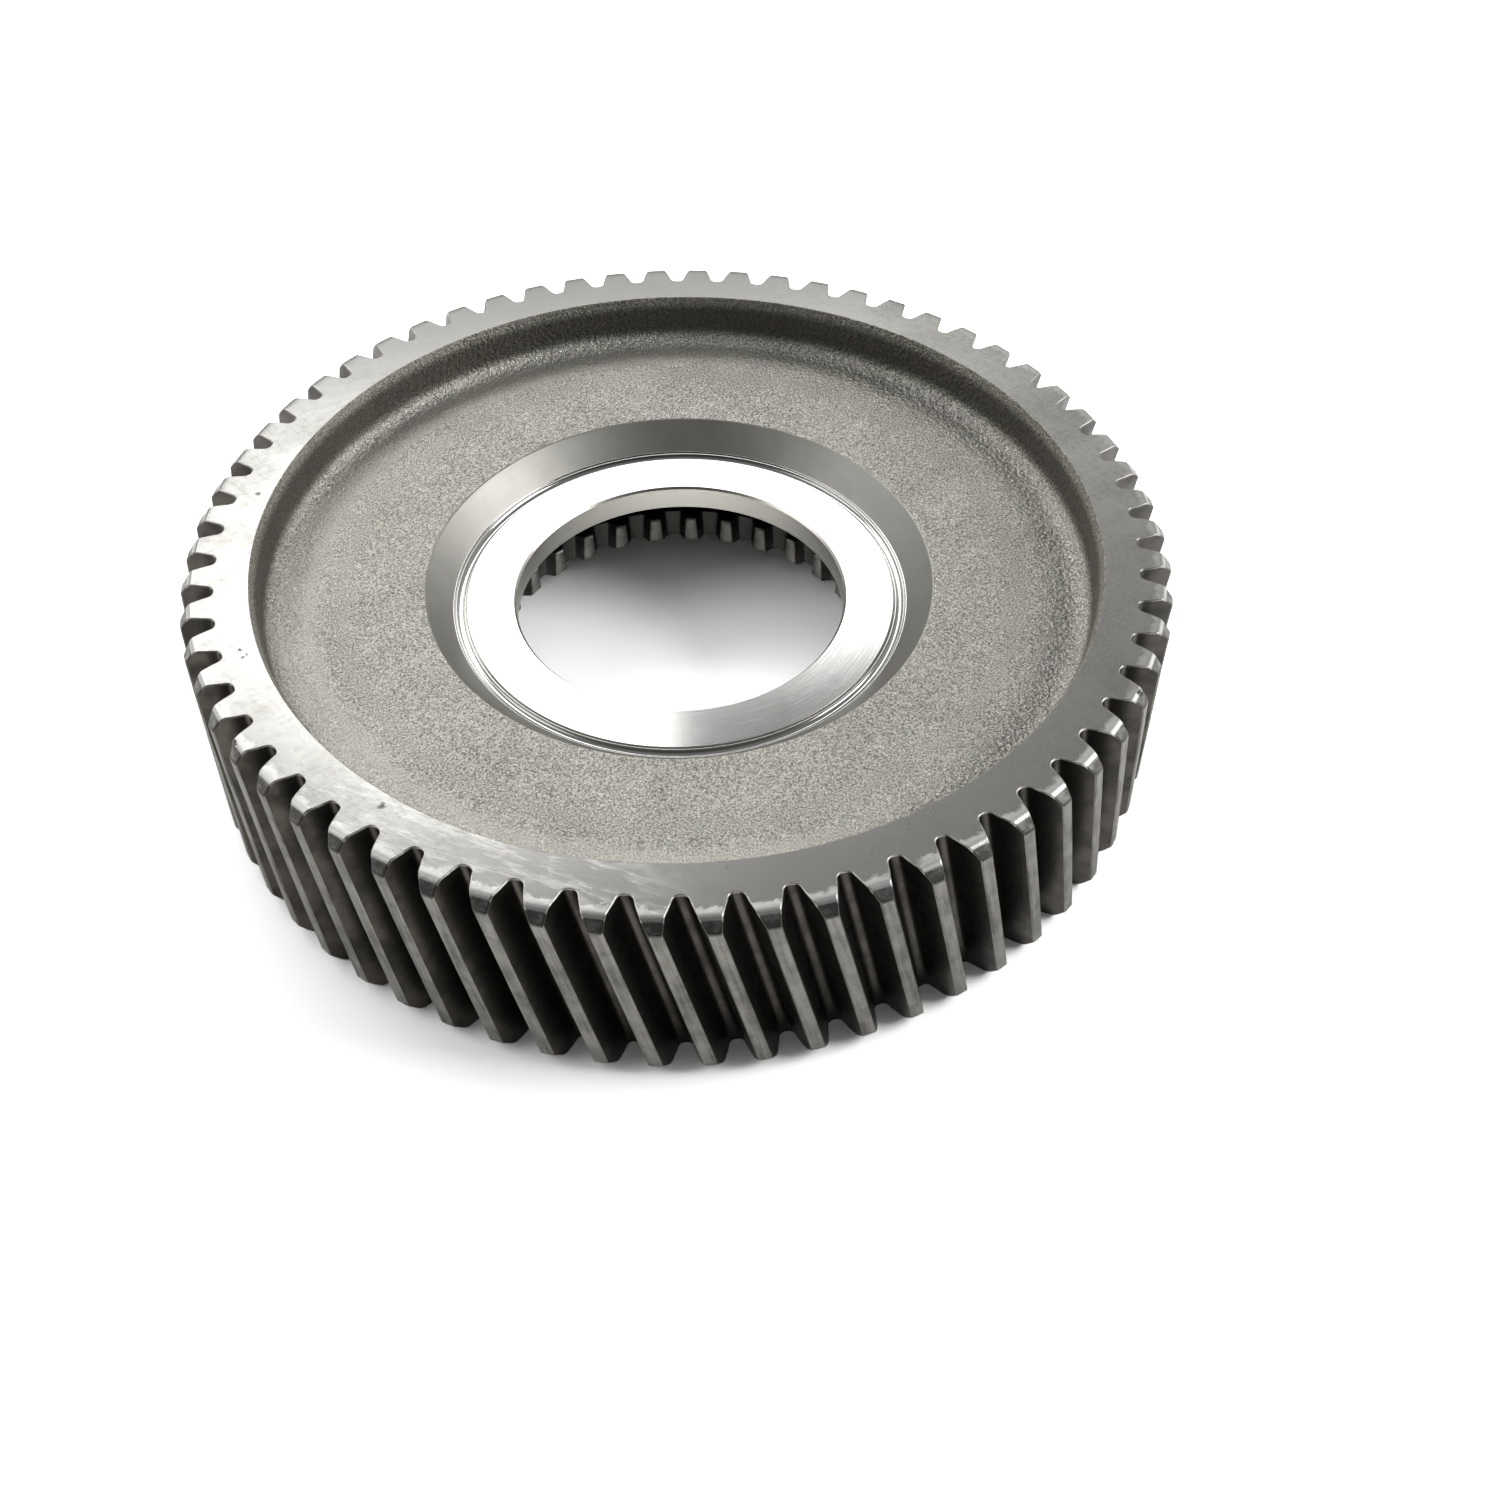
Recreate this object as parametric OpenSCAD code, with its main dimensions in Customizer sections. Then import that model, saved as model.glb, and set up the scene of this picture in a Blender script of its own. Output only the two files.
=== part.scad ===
// Helical gear wheel, forged and machined from one piece of steel.
// The toothed rim, the web, the hub and its internal clutch teeth are one solid.
// The axis is Z, the front face looks up, and the rear face of the rim lies on Z = 0.

/* [Helical teeth] */
// Number of teeth on the rim
tooth_count = 62; // [48:1:76]
// Module of the teeth, square to the helix
normal_module = 4; // [3:0.25:5]
// Pressure angle of the flanks, square to the helix, in degrees
pressure_angle = 20; // [17.5:0.5:25]
// Left-hand helix angle at the pitch circle, in degrees
helix_angle = 12.5; // [0:0.5:25]
// Width of the toothed rim along the axis
face_width = 58; // [52:1:72]
// Room below the mating tooth's tip, at the root
root_clearance = 1; // [0.6:0.1:1.4]
// Radius of the fillet at the foot of each flank
root_fillet = 1.7; // [0.8:0.1:1.9]
// Height of the narrow bevel along both edges of each tip
tip_bevel = 0.35; // [0.2:0.05:0.6]
// Turned chamfer on the tooth ends, along the radius
end_chamfer_r = 2.8; // [1:0.1:4]
// Turned chamfer on the tooth ends, along the axis
end_chamfer_z = 3.4; // [1:0.1:5]
// Angle of one tooth space on the front face, in degrees
tooth_clocking = -91.1; // [-180:0.1:180]

/* [Rim and web] */
// Thickness of the rim, from its recess to the tooth roots
rim_wall = 9.2; // [7:0.1:14]
// Depth of the web below the front face
front_recess = 13; // [8:0.5:16]
// Thickness of the flat middle part of the web
web_thickness = 20; // [14:0.5:24]
// Draft of the forged walls, in degrees
forging_draft = 2; // [0.5:0.5:5]
// Width of the bevelled mouth of each recess
mouth_w = 1.2; // [0.4:0.1:2]
// Depth of the bevelled mouth of each recess
mouth_h = 3.5; // [1:0.1:4]
// Fillet between the forged walls and the web
recess_fillet = 5.5; // [2:0.5:7]
// Width of the outer part of the front web that falls off towards the rim
web_slope_w = 26; // [10:1:30]
// How far the front web falls off, down to the foot of its wall
web_fall = 1.2; // [0.4:0.1:2]

/* [Hub front] */
// Diameter of the ground bore
bore_d = 90; // [70:1:94]
// Length of the ground bore, which is the thickness of its lip
lip_thickness = 7.7; // [5:0.1:9]
// Edge break at both ends of the bore
bore_chamfer = 0.6; // [0.3:0.1:1]
// Outer diameter of the ground thrust face
thrust_d = 117; // [104:0.5:122]
// Radius of the round groove outside the thrust face
groove_r = 1.6; // [1:0.1:2]
// Flat step between the groove and the funnel
groove_step = 0.3; // [0.2:0.1:1]
// Depth of the turned funnel, from the web to the thrust face
funnel_depth = 7; // [4:0.5:9]
// Angle of the funnel from the axis, in degrees
funnel_angle = 44; // [30:1:55]

/* [Clutch teeth] */
// Number of internal clutch teeth
clutch_count = 31; // [28:1:34]
// Module of the clutch teeth
clutch_module = 3.5; // [3.25:0.05:3.75]
// Pressure angle of the clutch teeth, in degrees
clutch_angle = 30; // [20:1:35]
// Height of the clutch teeth inside their pitch circle
clutch_inner = 2; // [1:0.1:2.4]
// Depth of the clutch teeth outside their pitch circle
clutch_outer = 1.4; // [1:0.1:1.8]
// Length of the clutch teeth along the axis
clutch_length = 9; // [6:0.5:11]
// Back taper of each clutch flank, which holds the clutch in, in degrees
clutch_taper = 3.5; // [0:0.5:5]
// Chamfer on the clutch tooth ends
clutch_chamfer = 0.8; // [0.4:0.1:1.4]
// Corner break at the foot of each clutch flank
clutch_corner = 0.5; // [0.2:0.1:0.8]
// Radial room of the cutter relief beyond the clutch roots
relief_room = 1.2; // [0.5:0.1:2]
// Angle of one space between clutch teeth, in degrees
clutch_clocking = 45.1; // [-180:0.1:180]
// Wall of the hub outside the clutch roots, at the rear
hub_wall = 11.5; // [8:0.5:14]
// Depth of the hub's rear face below the rim's rear face
hub_drop = 11.5; // [6:0.5:13]

/* [Hidden] */
$fn = 128;

// How far a cutter runs past what it cuts
over = 1;
// Straight stretches along one helical tooth space
helix_steps = 3;
// Straight stretches round one root fillet, and along one flank
fillet_steps = 3;
flank_steps = 3;

// Circles of the helical teeth, in the plane across the axis
pitch_r = tooth_count * normal_module / cos(helix_angle) / 2;
tip_r = pitch_r + normal_module;
root_r = pitch_r - normal_module - root_clearance;
transverse_angle = atan(tan(pressure_angle) / cos(helix_angle));
base_r = pitch_r * cos(transverse_angle);
// Turn of the teeth for each millimetre along the axis, in degrees
twist = tan(helix_angle) / pitch_r * 180 / PI;

// Heights of the main faces
web_front = face_width - front_recess;
web_low = web_front - web_fall;
web_rear = web_front - web_thickness;
thrust_z = web_front - funnel_depth;
lip_under = thrust_z - lip_thickness;
clutch_top = hub_drop + clutch_length;

// Radii of the rim and the hub
rim_r = root_r - rim_wall;
wall_r = rim_r - mouth_w;
bore_r = bore_d / 2;
thrust_r = thrust_d / 2;
funnel_foot_r = thrust_r + 2 * groove_r + groove_step;
funnel_mouth_r = funnel_foot_r + funnel_depth * tan(funnel_angle);
clutch_pitch_r = clutch_count * clutch_module / 2;
clutch_tip_r = clutch_pitch_r - clutch_inner;
clutch_root_r = clutch_pitch_r + clutch_outer;
relief_r = clutch_root_r + relief_room;
hub_r = clutch_root_r + hub_wall;

// Feet of the drafted walls on the web
front_foot_r = wall_r - (face_width - web_low - mouth_h) * tan(forging_draft);
rear_foot_r = wall_r - (web_rear - mouth_h) * tan(forging_draft);
hub_foot_r = hub_r + (web_rear - hub_drop) * tan(forging_draft);

// How far a fillet reaches onto the web from the foot of its wall
fillet_reach = recess_fillet * (1 / cos(forging_draft) - tan(forging_draft));
// Ends of the front web's slope, and the radius of the arc that it follows
slope_end_r = front_foot_r - fillet_reach;
web_flat_r = max(funnel_mouth_r + over, slope_end_r - web_slope_w);
crown_r = (pow(slope_end_r - web_flat_r, 2) / web_fall + web_fall) / 2;

// Involute function of an angle, in degrees
function involute(a) = tan(a) * 180 / PI - a;

// Half angle of a tooth space at radius r
function space_half_angle(r) =
    90 / tooth_count - involute(transverse_angle) + involute(acos(base_r / r));

// Point at radius r and angle a
function polar(r, a) = [r * cos(a), r * sin(a)];

// Centre of the root fillet: on the root circle's offset, and on the flank's own offset
fillet_r = root_r + root_fillet;
fillet_a = space_half_angle(fillet_r) - root_fillet / base_r * 180 / PI;
fillet_centre = polar(fillet_r, fillet_a);
// Direction from the fillet's centre to the flank, which is tangent to the base circle
flank_turn = 90 + fillet_a + acos(base_r / fillet_r);
root_turn = 180 + fillet_a;

// Radius where the fillet meets the flank, and where the tip bevel starts
flank_foot = norm(fillet_centre + root_fillet * polar(1, flank_turn));
bevel_r = tip_r - tip_bevel;

// One side of a tooth space as [radius, half angle], from its root to past its tip
function fillet_point(i) =
    let (
        turn = root_turn + (flank_turn - root_turn) * i / fillet_steps,
        point = fillet_centre + root_fillet * polar(1, turn)
    )
    [norm(point), atan2(point[1], point[0])];

function flank_point(i) =
    let (r = flank_foot + (bevel_r - flank_foot) * i / flank_steps)
    [r, space_half_angle(r)];

function bevel_end() =
    let (reach = tip_bevel + over)
    [bevel_r + reach, space_half_angle(bevel_r) + reach / tip_r * 180 / PI];

space_side = concat(
    [for (i = [0 : fillet_steps]) fillet_point(i)],
    [for (i = [1 : flank_steps]) flank_point(i)],
    [bevel_end()]
);

// One side of a clutch tooth space as [radius, half width], at height z
function clutch_half_width(r, z) =
    PI * r / clutch_count
    - PI * clutch_module / 4
    - (hub_drop + clutch_length / 2 - z) * tan(clutch_taper)
    - (r - clutch_pitch_r) * tan(clutch_angle);

function clutch_side(z) =
    let (
        inner = clutch_tip_r - over,
        corner = clutch_root_r - clutch_corner
    )
    [
        [clutch_root_r, clutch_half_width(clutch_root_r, z) - clutch_corner],
        [corner, clutch_half_width(corner, z)],
        [inner, clutch_half_width(inner, z)]
    ];

// Closed skin through stacked slices, each with count pairs of points, right then left
function pair_band(count, k, i) =
    let (
        a = 2 * count * k + 2 * i,
        b = a + 2 * count
    )
    [
        [a, b + 2, b], [a, a + 2, b + 2],
        [a + 1, b + 1, b + 3], [a + 1, b + 3, a + 3]
    ];

function end_band(count, k, i) =
    let (a = 2 * count * k + 2 * i)
    [[a, a + 1, a + 3], [a, a + 3, a + 2]];

function turned_over(faces) = [for (f = faces) [f[0], f[2], f[1]]];

function closing_band(count, k) =
    let (
        a = 2 * count * k,
        b = a + 2 * count,
        last = 2 * count - 2
    )
    [
        [a, b, b + 1], [a, b + 1, a + 1],
        [a + last, b + last + 1, b + last], [a + last, a + last + 1, b + last + 1]
    ];

function paired_faces(count, slices) = concat(
    [for (k = [0 : slices - 2], i = [0 : count - 2]) each pair_band(count, k, i)],
    [for (k = [0 : slices - 2]) each closing_band(count, k)],
    [for (i = [0 : count - 2]) each end_band(count, 0, i)],
    [for (i = [0 : count - 2]) each turned_over(end_band(count, slices - 1, i))]
);

// Cutter for one helical tooth space
module tooth_space() {
    count = len(space_side);
    rise = (face_width + 2 * over) / helix_steps;
    points = [
        for (k = [0 : helix_steps], p = space_side, side = [1, -1])
            let (
                z = k * rise - over,
                turn = (face_width - z) * twist
            )
            concat(polar(p[0], turn + side * p[1]), z)
    ];
    polyhedron(points, paired_faces(count, helix_steps + 1));
}

// Cutter for one tapered space between two clutch teeth
module clutch_space() {
    heights = [hub_drop - over, clutch_top + over];
    points = [
        for (z = heights, p = clutch_side(z), side = [1, -1])
            [p[0], side * p[1], z]
    ];
    polyhedron(points, turned_over(paired_faces(len(clutch_side(0)), len(heights))));
}

// Concave fillet at the foot of a forged wall, below which lies the web
module foot_fillet(foot_r) {
    centre = [foot_r - fillet_reach, recess_fillet];
    difference() {
        polygon([
            [foot_r, 0],
            centre + recess_fillet * [cos(forging_draft), -sin(forging_draft)],
            centre,
            [centre[0], 0]
        ]);
        translate(centre) circle(recess_fillet);
    }
}

// Outer part of the front web, which falls off along an arc
module web_crown() {
    intersection() {
        translate([web_flat_r, web_front - crown_r]) circle(crown_r, $fn = 2 * $fn);
        translate([web_flat_r, web_low]) square([slope_end_r - web_flat_r, web_fall]);
    }
}

// Half section of the turned and forged blank, with sharp corners
module blank_outline() {
    polygon([
        [bore_r, lip_under + bore_chamfer],
        [bore_r + bore_chamfer, lip_under],
        [relief_r, lip_under],
        [relief_r, clutch_top],
        [clutch_tip_r + clutch_chamfer, clutch_top],
        [clutch_tip_r, clutch_top - clutch_chamfer],
        [clutch_tip_r, hub_drop + clutch_chamfer],
        [clutch_tip_r + clutch_chamfer, hub_drop],
        [hub_r, hub_drop],
        [hub_foot_r, web_rear],
        [rear_foot_r, web_rear],
        [wall_r, mouth_h],
        [rim_r, 0],
        [tip_r - end_chamfer_r, 0],
        [tip_r, end_chamfer_z],
        [tip_r, face_width - end_chamfer_z],
        [tip_r - end_chamfer_r, face_width],
        [rim_r, face_width],
        [wall_r, face_width - mouth_h],
        [front_foot_r, web_low],
        [web_flat_r, web_low],
        [web_flat_r, web_front],
        [funnel_mouth_r, web_front],
        [funnel_foot_r, thrust_z],
        [bore_r + bore_chamfer, thrust_z],
        [bore_r, thrust_z - bore_chamfer]
    ]);
}

// Half section of the blank, with its fillets and the groove round the thrust face
module blank_section() {
    difference() {
        union() {
            blank_outline();
            web_crown();
            translate([0, web_low]) foot_fillet(front_foot_r);
            translate([0, web_rear]) mirror([0, 1]) foot_fillet(rear_foot_r);
            translate([2 * hub_foot_r, web_rear])
                mirror([1, 0])
                mirror([0, 1])
                foot_fillet(hub_foot_r);
        }
        translate([thrust_r + groove_r, thrust_z]) circle(groove_r);
    }
}

// The whole gear: a revolved blank with its helical and clutch tooth spaces cut out
module gear() {
    color("gray")
    difference() {
        rotate_extrude() blank_section();
        for (i = [0 : tooth_count - 1])
            rotate(tooth_clocking + 360 * i / tooth_count) tooth_space();
        for (i = [0 : clutch_count - 1])
            rotate(clutch_clocking + 360 * i / clutch_count) clutch_space();
    }
}

gear();
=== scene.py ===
"""Looks of a helical gear wheel: one forged steel piece with a toothed rim and a clutch hub.

Sizes in the classes below are in millimetres, in the frame of the solid model: the axis is Z, the
front face looks up and the rear face of the rim lies on Z = 0.
"""

import logging
import math
from dataclasses import dataclass, field
from enum import Enum, IntEnum, auto
from typing import Any, Callable, Sequence

import bmesh
import bpy
import numpy as np
from mathutils import Matrix, Vector, noise


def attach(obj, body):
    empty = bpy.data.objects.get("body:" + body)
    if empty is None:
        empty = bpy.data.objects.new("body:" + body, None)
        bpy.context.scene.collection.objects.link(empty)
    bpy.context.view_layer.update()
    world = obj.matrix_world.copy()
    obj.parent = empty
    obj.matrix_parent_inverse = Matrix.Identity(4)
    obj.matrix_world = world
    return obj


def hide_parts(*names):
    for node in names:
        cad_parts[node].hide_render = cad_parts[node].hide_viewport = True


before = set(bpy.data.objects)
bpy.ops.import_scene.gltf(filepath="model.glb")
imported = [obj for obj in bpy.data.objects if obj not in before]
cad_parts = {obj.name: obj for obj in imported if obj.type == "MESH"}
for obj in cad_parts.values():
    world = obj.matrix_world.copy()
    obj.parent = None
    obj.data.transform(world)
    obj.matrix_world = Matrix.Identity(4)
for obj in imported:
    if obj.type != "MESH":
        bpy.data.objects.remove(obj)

LOG = logging.getLogger("gear")
MM = 0.001
TURN = 2 * math.pi
WELD_DISTANCE = 2e-6
NOISE_MIDDLE = 0.5

Pair = tuple[float, float]
Spot = tuple[float, float, float]
Colour = tuple[float, float, float, float]
# Numbers that draw a pattern, in the order in which its method of SteelShop takes them
Pattern = tuple[float, ...]


class Zone(IntEnum):
    """The differently finished surfaces of the gear, in the order of its material slots."""

    END_FACE = 0
    BURNISHED = 1
    FLANK = 2
    TIP_LAND = 3
    FORGED = 4
    FUNNEL = 5
    THRUST = 6
    BORE = 7
    CLUTCH = 8
    CHAMFER = 9


class Group(IntEnum):
    """Groups of faces that are shaded smoothly across the edges between them."""

    FLANK = auto()
    BEVEL = auto()
    TIP = auto()
    TOOTH_EDGE = auto()
    RIM_FACE = auto()
    RIM_EDGE = auto()
    FORGED = auto()
    MOUTH = auto()
    CONE = auto()
    GROOVE = auto()
    RING_EDGE = auto()
    RING = auto()
    BORE_TOP = auto()
    BORE = auto()
    BORE_FOOT = auto()
    RELIEF = auto()
    CLUTCH_FLANK = auto()
    CLUTCH_EDGE = auto()
    CLUTCH_END = auto()
    HUB_FACE = auto()
    HUB_EDGE = auto()


class End(Enum):
    """The two ends of a row of teeth."""

    REAR = "rear"
    FRONT = "front"


# Meshes


class Patchwork:
    """Collects the surface patches of one sector, with a finish and a smoothing group per face."""

    def __init__(self) -> None:
        """Starts with no patches."""
        self.points: list[np.ndarray] = []
        self.faces: list[list[int]] = []
        self.zones: list[int] = []
        self.groups: list[int] = []
        self.count = 0

    def add_points(self, points: np.ndarray) -> np.ndarray:
        """Adds points and returns their numbers.

        Args:
            points: An array of rows of x, y and z.

        Returns:
            The number of each point, in the same order.
        """
        self.points.append(np.asarray(points, float))
        first = self.count
        self.count += len(points)
        return np.arange(first, self.count)

    def add_face(self, corners: Sequence[int], zone: Zone, group: Group) -> None:
        """Adds one face.

        Args:
            corners: Point numbers in order round the face.
            zone: The finish of the face.
            group: Its smoothing group.
        """
        self.faces.append([int(c) for c in corners])
        self.zones.append(int(zone))
        self.groups.append(int(group))

    def add_grid(self, rows: Sequence[np.ndarray], finish: Callable[[int], tuple[Zone, Group]]) -> None:
        """Adds a grid of quads through rows of points.

        Args:
            rows: Arrays of points, all of one length.
            finish: Gives the zone and the group of the quads in a column.
        """
        ids = [self.add_points(row) for row in rows]
        for i in range(len(rows) - 1):
            for j in range(len(rows[0]) - 1):
                zone, group = finish(j)
                self.add_face((ids[i][j], ids[i][j + 1], ids[i + 1][j + 1], ids[i + 1][j]), zone, group)

    def add_zip(self, first: np.ndarray, second: np.ndarray, zone: Zone, group: Group) -> None:
        """Joins two round lines of points with triangles, side by side round the axis.

        Args:
            first: Points of one line, by rising angle.
            second: Points of the other line, by rising angle.
            zone: The finish of the triangles.
            group: Their smoothing group.
        """
        a, b = self.add_points(first), self.add_points(second)
        reach = []
        for line in (first, second):
            angle = np.unwrap(np.arctan2(line[:, 1], line[:, 0]))
            reach.append((angle - angle[0]) / (angle[-1] - angle[0]))
        i = j = 0
        while i < len(a) - 1 or j < len(b) - 1:
            step_first = j == len(b) - 1 or (i < len(a) - 1 and reach[0][i + 1] <= reach[1][j + 1])
            if step_first:
                self.add_face((a[i], a[i + 1], b[j]), zone, group)
                i += 1
            else:
                self.add_face((a[i], b[j + 1], b[j]), zone, group)
                j += 1

    def add_skirt(self, line: np.ndarray, circle_r: float, zone: Zone, group: Group) -> np.ndarray:
        """Joins a line of points with a circle round the axis at its height, each point along its radius.

        Args:
            line: The points, by rising angle.
            circle_r: The circle's radius.
            zone: The finish of the faces.
            group: Their smoothing group.

        Returns:
            The points on the circle.
        """
        circle = line.copy()
        circle[:, :2] *= circle_r / np.hypot(line[:, 0], line[:, 1])[:, None]
        self.add_grid([line, circle], lambda j: (zone, group))
        return circle

    def to_mesh(self, name: str) -> bpy.types.Mesh:
        """Makes a mesh of the patches, in metres.

        Args:
            name: The mesh's name.

        Returns:
            The mesh, with face attributes "zone" and "group".
        """
        mesh = bpy.data.meshes.new(name)
        mesh.from_pydata((np.concatenate(self.points) * MM).tolist(), [], self.faces)
        for label, values in (("zone", self.zones), ("group", self.groups)):
            layer = mesh.attributes.new(label, "INT", "FACE")
            layer.data.foreach_set("value", values)
        mesh.update()
        return mesh


@dataclass
class RoundColumns:
    """The angles that the turned surfaces are divided at, shared by the rim and the hub."""

    start: float
    count: int

    def angles(self, near: float, steps: int) -> np.ndarray:
        """Gives a run of column angles.

        Args:
            near: The run starts at the column nearest to this angle, in radians.
            steps: Number of columns that the run spans.

        Returns:
            The angles, one more than the steps.
        """
        pitch = TURN / self.count
        first = round((near - self.start) / pitch)
        return self.start + pitch * (first + np.arange(steps + 1))

    def ring(self, radius: float, height: float, near: float, steps: int) -> np.ndarray:
        """Gives points on a circle at a run of columns, as `angles` does."""
        a = self.angles(near, steps)
        return np.stack([radius * np.cos(a), radius * np.sin(a), np.full_like(a, height)], axis=1)


@dataclass
class Stretch:
    """A stretch of a half section that is turned round the axis, as radius and height pairs."""

    points: list[Pair]
    zone: Zone
    group: Group

    def lay(self, patch: Patchwork, columns: RoundColumns, near: float, steps: int) -> None:
        """Turns the stretch through a run of columns that starts near an angle, and adds it to a patch."""
        rows = [columns.ring(r, z, near, steps) for r, z in self.points]
        patch.add_grid(rows, lambda j: (self.zone, self.group))


def arc(centre: Pair, radius: float, start: float, end: float, steps: int) -> list[Pair]:
    """Gives points on an arc of a half section, between two angles in degrees, both ends included."""
    turns = np.radians(np.linspace(start, end, steps + 1))
    return [(centre[0] + radius * math.cos(t), centre[1] + radius * math.sin(t)) for t in turns]


def spaced(start: Pair, end: Pair, steps: int) -> list[Pair]:
    """Gives evenly spaced points on a straight stretch of a half section, both ends included."""
    return [tuple(p) for p in np.linspace(start, end, steps + 1)]


def edge_normals(outline: np.ndarray, inward: float) -> np.ndarray:
    """Gives normals of an outline in the plane, which point into the metal.

    Args:
        outline: Points of one whole pitch, by rising angle.
        inward: 1 where the metal lies to the left of the line, -1 where it lies to the right.

    Returns:
        One normal per point, longer than 1 at a corner, so that both its sides move in by 1. At both
        ends it lies along the radius.
    """
    steps = np.diff(outline, axis=0)
    steps /= np.linalg.norm(steps, axis=1, keepdims=True)
    tangents = np.empty_like(outline)
    tangents[1:-1] = (steps[1:] + steps[:-1]) / 2
    for k in (0, -1):
        tangents[k] = (-outline[k][1], outline[k][0])
        tangents[k] /= np.linalg.norm(tangents[k])
    tangents /= np.sum(tangents ** 2, axis=1, keepdims=True)
    return inward * np.stack([-tangents[:, 1], tangents[:, 0]], axis=1)


def whole_pitch(side: list[Pair], tip_r: float, teeth: int) -> np.ndarray:
    """Mirrors one side of a tooth space into the outline of a whole pitch.

    Args:
        side: Radius and angle of each point, from the middle of the space to the tip's edge.
        tip_r: Radius of the tooth's tip.
        teeth: Number of teeth.

    Returns:
        The outline's points by rising angle, up to the middle of the next space.
    """
    pitch = TURN / teeth
    polar = side + [(tip_r, pitch / 2)] + [(r, pitch - a) for r, a in reversed(side)]
    return np.array([(r * math.cos(a), r * math.sin(a)) for r, a in polar])


def turned(flat: np.ndarray, angle: np.ndarray | float, heights: np.ndarray) -> np.ndarray:
    """Turns points of a plane round the axis and lifts them to their heights."""
    c, s = np.cos(angle), np.sin(angle)
    return np.stack([flat[:, 0] * c - flat[:, 1] * s, flat[:, 0] * s + flat[:, 1] * c, heights], axis=1)


def softened(value: np.ndarray, width: float) -> np.ndarray:
    """Gives max(value, 0) with its corner rounded over about two widths."""
    return width * np.logaddexp(0, value / width)


class ToothRow:
    """Surfaces of one tooth pitch: flanks, rounded end edges and end faces.

    A subclass says where its outline lies and how high its ends are.
    """

    edge_round: float
    edge_steps: int = 3
    flank_rows: int = 12

    def place(self, inset: float, heights: np.ndarray) -> np.ndarray:
        """Gives the outline's points at their heights, moved into the metal by inset."""
        raise NotImplementedError

    def end_height(self, radius: np.ndarray, end: End) -> np.ndarray:
        """Gives the height of an end face at each radius."""
        raise NotImplementedError

    def end_row(self, inset: float, depth: float, end: End) -> np.ndarray:
        """Gives a line of points round an end.

        Args:
            inset: How far the line lies inside the flank.
            depth: How far it lies below the end face.
            end: Which end.

        Returns:
            The points of one pitch.
        """
        middle = np.full(self.columns(), self.end_middle(end))
        flat = self.place(inset, middle)
        heights = self.end_height(np.hypot(flat[:, 0], flat[:, 1]), end)
        heights = heights - depth if end is End.FRONT else heights + depth
        return self.place(inset, heights)

    def columns(self) -> int:
        """Gives the number of points in the outline of one pitch."""
        raise NotImplementedError

    def end_middle(self, end: End) -> float:
        """Gives the nominal height of an end."""
        raise NotImplementedError

    def edge_lines(self, end: End) -> list[np.ndarray]:
        """Gives the lines of the rounded edge of an end, from the flank to the end face.

        Args:
            end: Which end.

        Returns:
            The lines, each with the points of one pitch.
        """
        lines = []
        for k in range(self.edge_steps + 1):
            turn = math.pi / 2 * k / self.edge_steps
            inset = self.edge_round * (1 - math.cos(turn))
            depth = self.edge_round * (1 - math.sin(turn))
            lines.append(self.end_row(inset, depth, end))
        return lines

    def flank_lines(self) -> list[np.ndarray]:
        """Gives the lines of the flanks, from the rear to the front.

        Returns:
            The lines, each with the points of one pitch.
        """
        low = self.end_row(0, self.edge_round, End.REAR)
        high = self.end_row(0, self.edge_round, End.FRONT)
        lines = []
        for share in np.linspace(0, 1, self.flank_rows + 1):
            lines.append(self.place(0, low[:, 2] + (high[:, 2] - low[:, 2]) * share))
        return lines


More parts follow.
